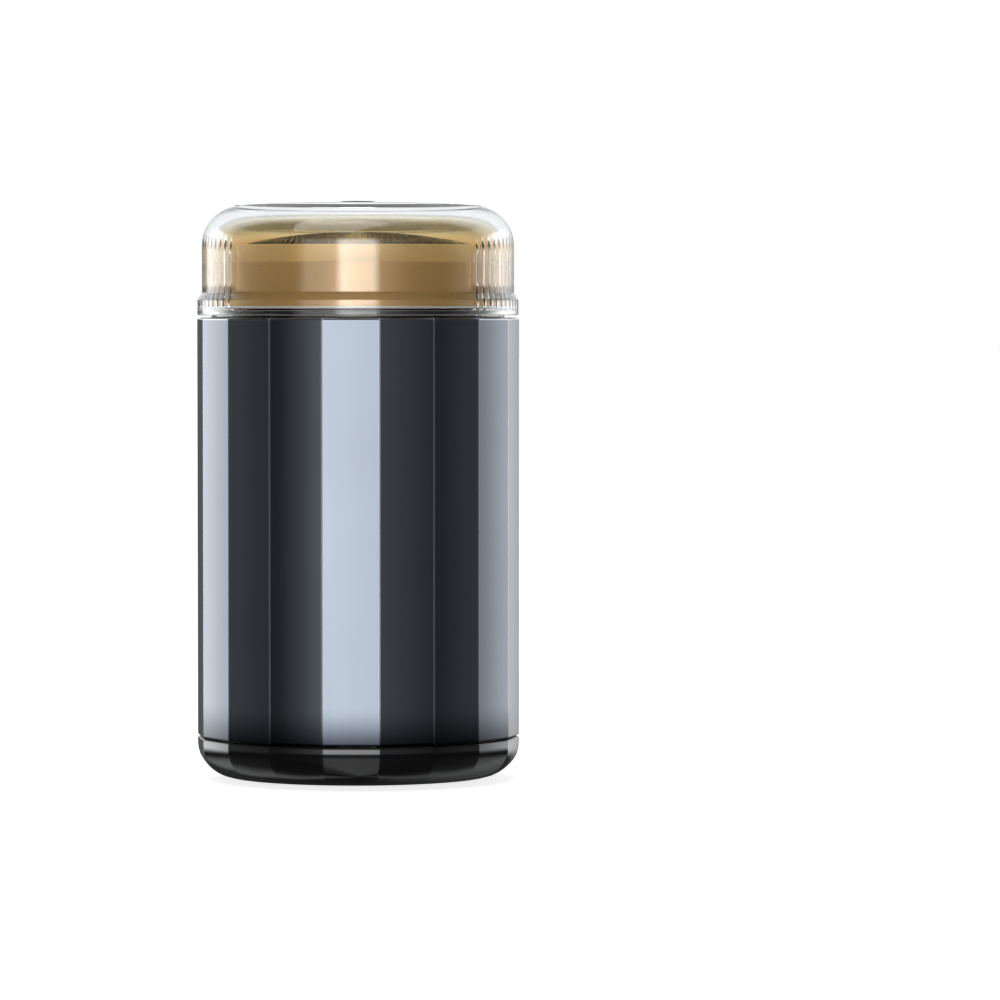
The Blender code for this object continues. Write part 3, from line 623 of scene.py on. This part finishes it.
GOLD = brushed("contact_gold", (0.83, 0.62, 0.28), 0.25, "Y").material
FOIL_STEEL = brushed("foil_steel", (0.27, 0.275, 0.285), 0.24, "Z").material


def dress_frame():
    """Give every carried-over CAD node the material of its slot."""
    for part in frame["record"]["subparts"]:
        node = frame["nodes"][part["node"]]
        node.data.materials.clear()
        node.data.materials.append(LOOKS[part["material_slot"]])


# ---------------------------------------------------------------- body


def faceted(r, z, angle):
    """Faceted outline outside the bore, round inside it."""
    return r * facet_scale(angle) if r > BORE_R + 0.5 else r


def make_shell():
    low, high = SHELL_Z
    path = filleted(
        [
            (BORE_R, low + 5.0),
            (BORE_R, low),
            (BODY_R, low, 0.25),
            (BODY_R, high, 0.3),
            (SHOULDER_R + 0.3, high, 0.12),
            (SHOULDER_R + 0.3, LEDGE_Z),
            (BORE_R, LEDGE_Z),
        ]
    )
    shell = lofted("shell_skin", path, facet_angles(), faceted)

    def windows(shape):
        mouth = ((-3.0, 0.0), (-0.35, 0.0), (-0.02, -0.3), (1.0, -0.3))
        face = (0.0, BODY_R * math.cos(math.radians(HALF)) + CROWN, 0.0)
        for size, z in ((BUTTON_SIZE, BUTTON_Z), (USB_SIZE, USB_Z)):
            opening = [side + 0.5 for side in size]
            oblong_into(shape, (face[0], face[1], z), opening, mouth)
        oblong_into(shape, (face[0], face[1], LED_Z), (2.2, 2.2), mouth)

    cut(shell, windows, "shell_windows")
    keep_sharp(shell, 30.0)
    place(shell, "body", "shell_metal", LOOKS["shell_metal"], "body_shell")


def make_base():
    """Lower cover: the facets melt into a round foot."""
    top = SHELL_Z[0] - BASE_GAP
    floor_z = BASE_Z + 3.0

    def outline(r, z, angle):
        if r <= PAD_R + 1.0 or z > top + 0.05:
            return r
        melt = min(max((z - BASE_Z) / BASE_FADE, 0.0), 1.0)
        melt = melt * melt * (3.0 - 2.0 * melt)
        flat = r * facet_scale(angle)
        return r * math.cos(math.radians(HALF)) * (1.0 - melt) + flat * melt

    path = filleted(
        [
            (SPIGOT_R[1], top + SPIGOT_RISE),
            (SPIGOT_R[1], top + 0.05),
            (BODY_R, top, 0.3),
            (BODY_R, BASE_Z, BASE_ROUND),
            (PAD_R + 0.3, BASE_Z, 0.2),
            (PAD_R + 0.3, BASE_Z + PAD_DEPTH),
            (SCREW_DISC_R, BASE_Z + PAD_DEPTH),
            (SCREW_DISC_R, floor_z),
            (SPIGOT_R[0], floor_z),
            (SPIGOT_R[0], top + SPIGOT_RISE),
        ],
        9,
    )
    cover = lofted("base_skin", path, facet_angles(), outline, sharp=40.0)
    place(cover, "body", "gloss_black", LOOKS["gloss_black"], "base_cover")
    pad_path = filleted(
        [
            (0.0, PAD_DISH),
            (PAD_R - 4.2, PAD_DISH),
            (PAD_R - 3.9, 0.02, 0.1),
            (PAD_R, 0.0, 0.35),
            (PAD_R, 0.8),
            (0.0, 0.8),
        ]
    )
    pad = lofted("foot_pad", pad_path, even_angles(120), loop=False, sharp=50.0)
    place(pad, "body", "rubber_grey", LOOKS["rubber_grey"], "base_pad")


def make_collar():
    low, high = COLLAR_Z
    flange = LEDGE_Z + 0.3

    def outline(r, z, angle):
        return r * facet_scale(angle) if r > COLLAR_R + 0.6 else r

    path = filleted(
        [
            (COLLAR_BORE_R, COLLAR_FLOOR_Z),
            (CUP_R, COLLAR_FLOOR_Z, 0.4),
            (CUP_R, high, 0.25),
            (COLLAR_R, high, 0.3),
            (COLLAR_R, SHOULDER_Z, 0.15),
            (SHOULDER_R, SHOULDER_Z, 0.2),
            (SHOULDER_R, flange, 0.08),
            (PLUG_R, flange),
            (PLUG_R, GROOVE_Z[1]),
            (GROOVE_R, GROOVE_Z[1]),
            (GROOVE_R, GROOVE_Z[0]),
            (PLUG_R, GROOVE_Z[0]),
            (PLUG_R, low),
            (COLLAR_BORE_R, low),
        ]
    )
    collar = lofted("collar_skin", path, facet_angles(), outline, sharp=40.0)

    def holes(shape):
        size = {"radius1": SCREW_HOLE_R, "radius2": SCREW_HOLE_R, "depth": 4.0}
        for angle in COLLAR_SCREWS:
            centre = point(SCREW_CIRCLE_R, angle, SCREW_HOLE_Z) / MM
            made = bmesh.ops.create_cone(shape, cap_ends=True, segments=24, **size)["verts"]
            for vert in made:
                vert.co = (vert.co + centre) * MM

    cut(collar, holes, "collar_holes")
    keep_sharp(collar, 40.0)
    place(collar, "body", "gloss_black", LOOKS["gloss_black"], "collar")


# ---------------------------------------------------------------- head


def dome_z(r):
    """Height of the foil's outer surface inside its flat rim."""
    sphere = (FOIL_FLAT_R**2 + FOIL_DOME**2) / (2.0 * FOIL_DOME)
    return FOIL_RIM_Z + FOIL_DOME - sphere + math.sqrt(sphere**2 - min(r, FOIL_FLAT_R) ** 2)


def make_ring():
    low, high = RING_Z
    path = filleted(
        [
            (RING_TOP_R[0], RING_LEDGE_Z),
            (RING_TOP_R[0], high, 0.12),
            (RING_TOP_R[1], high, 0.15),
            (RING_R, RING_CHAMFER_Z, 0.5),
            (RING_R, low, 0.2),
            (RING_IN_R, low),
            (RING_IN_R, RING_LEDGE_Z),
        ],
        6,
    )
    ring = lofted("ring_skin", path, even_angles(180), sharp=50.0)
    place(ring, "head", "silver_white", LOOKS["silver_white"], "head_ring")


def add_bar(shape, start, end, width):
    """Add one land of the foil between two (r, angle) points, following the dome."""
    r0, a0 = start
    r1, a1 = end
    corners = []
    for r, angle in ((r0, a0), (r1, a1)):
        off = math.degrees(width / 2.0 / r)
        for side in (-off, off):
            for drop in (0.0, SHEET):
                corners.append(shape.verts.new(point(r, angle + side, dome_z(r) - drop)))
    a_top, a_low, b_top, b_low, c_top, c_low, d_top, d_low = corners
    shape.faces.new((a_top, b_top, d_top, c_top))
    shape.faces.new((a_low, c_low, d_low, b_low))
    shape.faces.new((a_top, c_top, c_low, a_low))
    shape.faces.new((b_top, b_low, d_low, d_top))
    shape.faces.new((a_top, a_low, b_low, b_top))
    shape.faces.new((c_top, d_top, d_low, c_low))


def make_foil():
    """Domed foil: plain disc, swirling rows of cells, radial slots at the edge, and a flat rim."""
    shape = bmesh.new()
    disc = [(FOIL_DISC_R * i / 4.0, dome_z(FOIL_DISC_R * i / 4.0)) for i in range(5)]
    under = [(r, z - SHEET) for r, z in reversed(disc)]
    loft_into(shape, disc + under, even_angles(96), loop=False)
    pitch = (SLOT_R[0] - LAND - FOIL_DISC_R) / FOIL_ROWS
    count = 0
    swirl = 0.0
    for row in range(FOIL_ROWS):
        count = CELLS_FROM_ROW.get(row, count)
        inner = FOIL_DISC_R - 0.05 + row * pitch
        outer = inner + pitch + 0.05
        lean = math.degrees(SWIRL * pitch / inner) * (1.0 - 0.5 * row / FOIL_ROWS)
        for cell in range(count):
            angle = 360.0 * (cell + 0.5 * (row % 2) * (row > 2)) / count + swirl
            add_bar(shape, (inner, angle), (outer, angle + lean), LAND * 0.9)
        swirl += lean
        mid = FOIL_DISC_R + (row + 1) * pitch
        lane = [(mid - LAND / 2.0, 0.0), (mid + LAND / 2.0, 0.0)]
        top = [(r, dome_z(r)) for r, _ in lane]
        low = [(r, z - SHEET) for r, z in reversed(top)]
        loft_into(shape, top + low, even_angles(180))
    for cell in range(SLOTS):
        angle = 360.0 * cell / SLOTS
        add_bar(shape, (SLOT_R[0] - 0.1, angle), (SLOT_R[1] + 0.1, angle + 1.5), LAND * 1.3)
    rim = filleted(
        [
            (SLOT_R[1], dome_z(SLOT_R[1])),
            (FOIL_FLAT_R + 0.05, FOIL_RIM_Z),
            (FOIL_R, FOIL_RIM_Z, 0.2),
            (FOIL_R, FOIL_FOOT_Z + 0.4),
            (17.0, FOIL_FOOT_Z + 0.4),
            (17.0, FOIL_FOOT_Z),
            (FOIL_R - 0.3, FOIL_FOOT_Z),
            (FOIL_R - 0.3, FOIL_RIM_Z - FOIL_EDGE),
            (SLOT_R[1], dome_z(SLOT_R[1]) - FOIL_EDGE),
        ]
    )
    loft_into(shape, rim, even_angles(180))
    foil = finish_mesh("foil_screen", shape, sharp=35.0)
    place(foil, "head", "steel", FOIL_STEEL, "foil")


def make_rotor():
    """Cutter rotor: a bright disc with a crown of swept blades just under the foil."""
    shape = bmesh.new()
    low_z, high_z = ROTOR_Z
    bore_r, disc_r = ROTOR_R
    disc = [(bore_r, low_z), (disc_r, low_z, 0.2), (disc_r, high_z, 0.2), (bore_r, high_z)]
    loft_into(shape, filleted(disc), even_angles(96))
    inner, outer = BLADE_R
    steps = 6
    for blade in range(BLADES):
        sides = []
        for edge in (-0.22, 0.22):
            top, low = [], []
            for step in range(steps + 1):
                r = inner + (outer - inner) * step / steps
                angle = 360.0 * blade / BLADES + BLADE_SWEEP * (r - inner) / (outer - inner)
                off = math.degrees(edge / r)
                top.append(shape.verts.new(point(r, angle + off, dome_z(r) - BLADE_GAP)))
                low.append(shape.verts.new(point(r, angle + off - 1.2, 64.1)))
            sides.append((top, low))
        (top_a, low_a), (top_b, low_b) = sides
        for i in range(steps):
            j = i + 1
            shape.faces.new((top_a[i], top_a[j], top_b[j], top_b[i]))
            shape.faces.new((low_a[i], low_b[i], low_b[j], low_a[j]))
            shape.faces.new((top_a[i], low_a[i], low_a[j], top_a[j]))
            shape.faces.new((top_b[i], top_b[j], low_b[j], low_b[i]))
        for end in (0, steps):
            shape.faces.new((top_a[end], top_b[end], low_b[end], low_a[end]))
    rotor = finish_mesh("blade_rotor", shape, sharp=35.0)
    place(rotor, "cutter", "steel", LOOKS["steel"], "cutter_blades")


# ---------------------------------------------------------------- cap


def crowned(edge_r, edge_z, top_z, steps=8):
    """Points of the cap's slightly crowned top, from its axis out to its corner."""
    return [
        (edge_r * i / steps, top_z - (top_z - edge_z) * (i / steps) ** 2) for i in range(steps + 1)
    ]


def make_cap():
    top_z = CAP_Z[1]
    edge_z = top_z - CAP_CROWN

    def fluted(r, z, angle):
        """Vertical flutes in the inner wall on both sides of the cap."""
        if not (CAP_IN_R - 0.01 < r < CAP_IN_R + 0.01 and z > RIM_Z + 0.3):
            return r
        away = min(abs((angle + 180.0) % 360.0 - 180.0), abs(angle % 360.0 - 180.0))
        side = min(max((FLUTE_REACH - away) / 3.0, 0.0), 1.0)
        rise = min(max((FLUTE_TOP_Z - z) / 0.8, 0.0), 1.0) * min(max((z - RIM_Z - 0.4) / 0.4, 0.0), 1.0)
        wave = 0.5 - 0.5 * math.cos(2.0 * math.pi * angle / FLUTE_PITCH)
        return r + FLUTE_DEPTH * side * rise * wave

    gate = [
        (0.0, top_z - GATE_DEPTH),
        (GATE_R - 0.9, top_z - GATE_DEPTH, 0.1),
        (GATE_R - 0.65, top_z + GATE_LIP, 0.1),
        (GATE_R, top_z + GATE_LIP, 0.1),
        (GATE_R + 0.2, top_z - 0.02, 0.1),
        (GATE_R + 0.5, top_z - 0.025),
    ]
    dome = [(r, z) for r, z in crowned(CAP_R - CAP_CORNER + 0.9, edge_z, top_z) if r > GATE_R + 0.9]
    shoulder = corner_arc(CAP_R, edge_z, CAP_CORNER)
    rim = [
        (CAP_R, edge_z - CAP_CORNER - 0.1),
        (CAP_R, RIM_Z + 0.2, 0.7),
        (RIM_R, RIM_Z - 0.7, 0.4),
        (RIM_R, CAP_Z[0], 0.2),
        (SEAT_R, CAP_Z[0], 0.2),
        (SEAT_R, SEAT_Z - 0.25, 0.1),
        (CAP_IN_R, SEAT_Z, 0.1),
        (CAP_IN_R, RIM_Z + 0.6),
    ]
    wall = [(CAP_IN_R, RIM_Z + 0.7 + 0.4 * i) for i in range(15)]
    inner = corner_arc(CAP_IN_R, edge_z - CAP_WALL, CAP_CORNER - CAP_WALL)[::-1]
    ceiling = crowned(CAP_IN_R - CAP_CORNER + CAP_WALL + 0.7, edge_z - CAP_WALL, top_z - CAP_WALL)
    path = filleted(gate) + dome + shoulder + filleted(rim) + wall + inner + ceiling[::-1]
    cap = lofted("cap_clear", tidy(path), even_angles(480), fluted, loop=False, sharp=60.0)
    place(cap, "cap", "clear_plastic", LOOKS["clear_plastic"], "cap_shell")
    cap.visible_shadow = False


def make_liner():
    low, high = LINER_Z
    drop = CAP_Z[1] - high
    edge_z = CAP_Z[1] - CAP_CROWN
    round_r = CAP_CORNER - (CAP_R - LINER_R)
    outer = crowned(LINER_R - round_r + 0.8, edge_z - drop, high)
    skirt = [(LINER_R, low, 0.12), (LINER_R - LINER_WALL, low, 0.12)]
    inside = crowned(LINER_R - round_r + 0.8, edge_z - drop - LINER_WALL, high - LINER_WALL)
    path = (
        outer[:-1]
        + corner_arc(LINER_R, edge_z - drop, round_r)
        + skirt_path(skirt, LINER_R, LINER_WALL)
        + corner_arc(LINER_R - LINER_WALL, edge_z - drop - LINER_WALL, round_r - LINER_WALL)[::-1]
        + inside[:-1][::-1]
    )
    liner = lofted("cap_amber", tidy(path), even_angles(240), loop=False, sharp=60.0)
    place(liner, "cap", "amber_plastic", LOOKS["amber_plastic"], "cap_liner")
    liner.visible_shadow = False


def skirt_path(skirt, r, wall):
    """Foot of a thin wall, rounded at both edges."""
    return filleted([(r, skirt[0][1] + 1.0), *skirt, (r - wall, skirt[0][1] + 1.0)])


def corner_arc(r, edge_z, radius, steps=10):
    """Rounded shoulder, from the crowned top down to the upright wall."""
    points = []
    for step in range(steps + 1):
        turn = math.radians(80.0 * (1.0 - step / steps))
        points.append((r - radius + radius * math.cos(turn), edge_z - radius + radius * math.sin(turn)))
    points.append((r, edge_z - radius - HOLD))
    return points


def tidy(path):
    """Drop points that repeat the one before them."""
    kept = [path[0]]
    for spot in path[1:]:
        if (Vector(spot) - Vector(kept[-1])).length > 0.01:
            kept.append(spot)
    return kept


# ---------------------------------------------------------------- controls


def make_button():
    """Oblong button: rounded edge and shallow dish."""
    shape = bmesh.new()
    face = BUTTON_FACE_Y
    sections = [
        (17.4 - face, 0.0),
        (-0.45, 0.0),
        (-0.2, 0.07),
        (-0.04, 0.22),
        (0.0, 0.45),
        (-0.03, 0.8),
        (-0.14, 1.3),
        (-0.2, 1.9),
        (-0.2, 2.6),
    ]
    oblong_into(shape, (0.0, face, BUTTON_Z), BUTTON_SIZE, sections)
    flange = [side + 2.0 for side in BUTTON_SIZE]
    oblong_into(shape, (0.0, face, BUTTON_Z), flange, ((17.3 - face, 0.0), (18.2 - face, 0.0)))
    button = finish_mesh("button_cap", shape, sharp=40.0)
    place(button, "button", "soft_black", LOOKS["soft_black"], "power_button")


def make_lens():
    shape = bmesh.new()
    sections = [(-3.6, 0.0), (-0.35, 0.0), (-0.12, 0.1), (0.0, 0.35), (0.03, 0.6), (0.04, 0.85)]
    oblong_into(shape, (0.0, span("led_lens")[1].y - 0.04, LED_Z), (1.8, 1.8), sections)
    flange = ((-3.6, 0.0), (-2.4, 0.0))
    oblong_into(shape, (0.0, span("led_lens")[1].y, LED_Z), (3.6, 3.6), flange)
    lens = finish_mesh("lens_skin", shape, sharp=40.0)
    place(lens, "body", "light_lens", LOOKS["light_lens"], "led_lens")


def make_socket():
    """Charging socket: folded steel sleeve, tongue and two rows of contacts."""
    back, front = USB_Y
    shape = bmesh.new()
    sleeve = [
        (back, 0.0),
        (front - 0.08, 0.0),
        (front, 0.08),
        (front, 0.24),
        (front - 0.1, 0.33),
        (back + 0.9, 0.35),
    ]
    oblong_into(shape, (0.0, 0.0, USB_Z), USB_SIZE, sleeve)
    sleeve_piece = finish_mesh("socket_sleeve", shape, sharp=40.0)
    place(sleeve_piece, "body", "steel", LOOKS["steel"], "usb_socket")
    tongue_low, tongue_high = span("usb_tongue")
    shape = bmesh.new()
    sections = ((tongue_low.y, 0.0), (tongue_high.y - 0.15, 0.0), (tongue_high.y, 0.12))
    oblong_into(shape, (0.0, 0.0, USB_Z), (0.7, 6.2), sections)
    tongue = finish_mesh("socket_tongue", shape, sharp=40.0)
    place(tongue, "body", "chip_black", LOOKS["chip_black"], "usb_tongue")
    shape = bmesh.new()
    for side in (-1.0, 1.0):
        for number in range(12):
            z = USB_Z + (number - 5.5) * 0.45
            centre = Vector((side * 0.36, (tongue_low.y + tongue_high.y) / 2.0 + 0.4, z))
            made = bmesh.ops.create_cube(shape, size=1.0)["verts"]
            for vert in made:
                size = Vector((0.05, 3.0, 0.22))
                vert.co = (Vector(c * s for c, s in zip(vert.co, size)) + centre) * MM
            edges = list({edge for vert in made for edge in vert.link_edges})
            bmesh.ops.bevel(shape, geom=edges, offset=0.015 * MM, segments=1, affect="EDGES")
    contacts = finish_mesh("socket_contacts", shape, smooth=False)
    place(contacts, "body", "brass", GOLD)


# ---------------------------------------------------------------- studio


def make_floor():
    """Large pale floor that the shaver stands on."""
    shape = bmesh.new()
    bmesh.ops.create_grid(shape, x_segments=8, y_segments=8, size=6.0)
    floor = finish_mesh("studio_floor", shape, smooth=False)
    floor.location.z = -0.0002
    recipe = Recipe("floor_paint")
    tone = recipe.mix(recipe.noise(3.0), (0.90, 0.90, 0.90), (0.93, 0.93, 0.93))
    recipe.link(tone, recipe.shader.inputs["Base Color"])
    recipe.set(Roughness=0.9, Specular_IOR_Level=0.1)
    recipe.set(Emission_Color=(1.0, 1.0, 1.0, 1.0), Emission_Strength=0.8)
    floor.data.materials.append(recipe.material)
    floor.visible_glossy = False
    floor.visible_shadow = False
    floor.visible_diffuse = False
    floor.visible_transmission = False


# Light round the horizon: (azimuth from -Y towards +X, radiance), blended between stops.
HORIZON = (
    (-180.0, 0.08),
    (-163.0, 0.10),
    (-150.0, 0.30),
    (-141.0, 3.3),
    (-127.0, 3.4),
    (-117.0, 2.4),
    (-104.0, 0.60),
    (-88.0, 0.29),
    (-77.0, 0.13),
    (-50.0, 0.04),
    (-46.0, 0.08),
    (-41.0, 0.38),
    (-37.0, 0.95),
    (-28.0, 1.0),
    (-15.0, 1.4),
    (-9.0, 5.0),
    (3.0, 4.1),
    (14.0, 3.8),
    (20.0, 0.60),
    (32.0, 0.38),
    (43.0, 0.12),
    (60.0, 0.06),
    (72.0, 0.06),
    (83.0, 0.22),
    (110.0, 0.65),
    (123.0, 2.4),
    (136.0, 3.2),
    (152.0, 1.5),
    (164.0, 0.7),
    (175.0, 0.15),
)
BRIGHTEST = max(light for _, light in HORIZON)
# Elevations in degrees between which each light fades, and the lights' strengths.
BAND_TOP = (8.0, 24.0)
BAND_FOOT = (-7.0, -13.0)
UNDER_FADE = (15.0, 24.0)
UNDER_SHARE = 0.16
CROWN_RISE = (50.0, 80.0)
TOP_LIGHT = 0.8
PAPER_RISE = (1.5, 4.0, 62.0, 75.0)
PAPER_LIGHT = 0.95
FILL = 0.4
AMBIENT = 0.03


def make_world():
    """White to the camera and through the clear cap; soft boxes for reflections and light."""
    world = bpy.data.worlds.new("studio")
    world.use_nodes = True
    SCENE.world = world
    tree = world.node_tree
    tree.nodes.clear()

    def node(kind, **settings):
        made = tree.nodes.new(kind)
        for key, value in settings.items():
            setattr(made, key, value)
        return made

    def maths(operation, first, second=None):
        made = node("ShaderNodeMath", operation=operation)
        for socket, value in zip(made.inputs, (first, second)):
            if isinstance(value, (int, float)):
                socket.default_value = value
            elif value is not None:
                tree.links.new(value, socket)
        return made.outputs[0]

    def smooth(value, low, high):
        made = node("ShaderNodeMapRange", interpolation_type="SMOOTHSTEP")
        tree.links.new(value, made.inputs["Value"])
        made.inputs[1].default_value = low
        made.inputs[2].default_value = high
        return made.outputs["Result"]

    way = node("ShaderNodeTexCoord").outputs["Generated"]
    parts = node("ShaderNodeSeparateXYZ")
    tree.links.new(way, parts.inputs[0])
    level = node("ShaderNodeCombineXYZ")
    tree.links.new(parts.outputs["X"], level.inputs["X"])
    tree.links.new(parts.outputs["Y"], level.inputs["Y"])
    flat = node("ShaderNodeVectorMath", operation="NORMALIZE")
    tree.links.new(level.outputs[0], flat.inputs[0])
    rise = maths("ARCSINE", parts.outputs["Z"])
    parts_flat = node("ShaderNodeSeparateXYZ")
    tree.links.new(flat.outputs[0], parts_flat.inputs[0])
    turn = maths("ARCTAN2", parts_flat.outputs["X"], maths("MULTIPLY", parts_flat.outputs["Y"], -1.0))
    place_in_ramp = maths("ADD", maths("MULTIPLY", turn, 0.5 / math.pi), 0.5)
    ramp = node("ShaderNodeValToRGB")
    stops = ramp.color_ramp.elements
    while len(stops) > 1:
        stops.remove(stops[-1])
    stops[0].position = 0.0
    for azimuth, light in HORIZON:
        spot = (azimuth + 180.0) / 360.0
        stop = stops.new(spot) if spot else stops[0]
        stop.color = (*(light / BRIGHTEST,) * 3, 1.0)
    tree.links.new(place_in_ramp, ramp.inputs[0])
    total = maths("MULTIPLY", ramp.outputs["Color"], BRIGHTEST)
    above = smooth(maths("MULTIPLY", rise, -1.0), *(-math.radians(edge) for edge in BAND_TOP[::-1]))
    below = smooth(rise, *(math.radians(edge) for edge in BAND_FOOT[::-1]))
    deep = smooth(maths("MULTIPLY", rise, -1.0), *(math.radians(edge) for edge in UNDER_FADE))
    below = maths("MAXIMUM", below, maths("MULTIPLY", deep, UNDER_SHARE))
    band = maths("MULTIPLY", maths("MULTIPLY", total, above), below)
    crown = maths("MULTIPLY", smooth(rise, *(math.radians(edge) for edge in CROWN_RISE)), TOP_LIGHT)
    start, full, fade, end = (math.radians(edge) for edge in PAPER_RISE)
    sheet_top = smooth(maths("MULTIPLY", rise, -1.0), -end, -fade)
    sheet = maths("MULTIPLY", smooth(rise, start, full), sheet_top)
    behind = smooth(parts_flat.outputs["Y"], 0.3, 0.6)
    paper_glow = maths("MULTIPLY", maths("MULTIPLY", sheet, behind), PAPER_LIGHT)
    sky = maths("ADD", maths("ADD", maths("MAXIMUM", band, paper_glow), crown), AMBIENT)
    seen = node("ShaderNodeLightPath")
    mirrored = maths("ADD", seen.outputs["Glossy Depth"], seen.outputs["Diffuse Depth"])
    straight = maths("MULTIPLY", seen.outputs["Is Transmission Ray"], maths("LESS_THAN", mirrored, 0.5))
    through = maths("MAXIMUM", seen.outputs["Is Camera Ray"], straight)
    dim = maths("SUBTRACT", 1.0, maths("MULTIPLY", seen.outputs["Is Diffuse Ray"], 1.0 - FILL))
    studio = node("ShaderNodeBackground")
    tree.links.new(maths("MULTIPLY", sky, dim), studio.inputs["Strength"])
    studio.inputs["Color"].default_value = (0.97, 0.985, 1.0, 1.0)
    paper = node("ShaderNodeBackground")
    paper.inputs["Color"].default_value = (1.0, 1.0, 1.0, 1.0)
    choose = node("ShaderNodeMixShader")
    tree.links.new(through, choose.inputs[0])
    tree.links.new(studio.outputs[0], choose.inputs[1])
    tree.links.new(paper.outputs[0], choose.inputs[2])
    out = node("ShaderNodeOutputWorld")
    tree.links.new(choose.outputs[0], out.inputs["Surface"])
    world.cycles.sampling_method = "MANUAL"
    world.cycles.sample_map_resolution = 1024


def make_lamps():
    """One large soft box overhead."""
    data = bpy.data.lights.new("overhead", "AREA")
    data.shape = "RECTANGLE"
    data.size = LAMP_SIZE
    data.size_y = LAMP_SIZE
    data.energy = LAMP_POWER
    lamp = bpy.data.objects.new("overhead", data)
    lamp.location = LAMP_AT
    lamp.rotation_euler = (Vector(LAMP_AIM) - lamp.location).to_track_quat("-Z", "Y").to_euler()
    lamp.visible_glossy = False
    SCENE.collection.objects.link(lamp)


def make_camera():
    distance = FRAME_WIDTH * LENS / SENSOR
    azimuth = math.radians(VIEW_AZIMUTH)
    lift = math.radians(VIEW_ELEVATION)
    back = Vector(
        (math.sin(azimuth) * math.cos(lift), -math.cos(azimuth) * math.cos(lift), math.sin(lift))
    )
    right = Vector((math.cos(azimuth), math.sin(azimuth), 0.0))
    centre = Vector((0.0, 0.0, AIM_Z))
    data = bpy.data.cameras.new("view")
    data.lens = LENS
    data.sensor_width = SENSOR
    camera = bpy.data.objects.new("view", data)
    camera.location = (centre + back * distance) * MM
    aim = (centre + right * ASIDE) * MM
    camera.rotation_euler = (aim - camera.location).to_track_quat("-Z", "Y").to_euler()
    SCENE.collection.objects.link(camera)
    SCENE.camera = camera


make_camera()
dress_frame()
make_shell()
make_base()
make_collar()
make_ring()
make_foil()
make_rotor()
make_cap()
make_liner()
make_button()
make_lens()
make_socket()
make_floor()
make_world()
make_lamps()
SCENE.view_settings.view_transform = "Standard"
SCENE.cycles.use_denoising = True
SCENE.cycles.max_bounces = 24
SCENE.cycles.transmission_bounces = 20
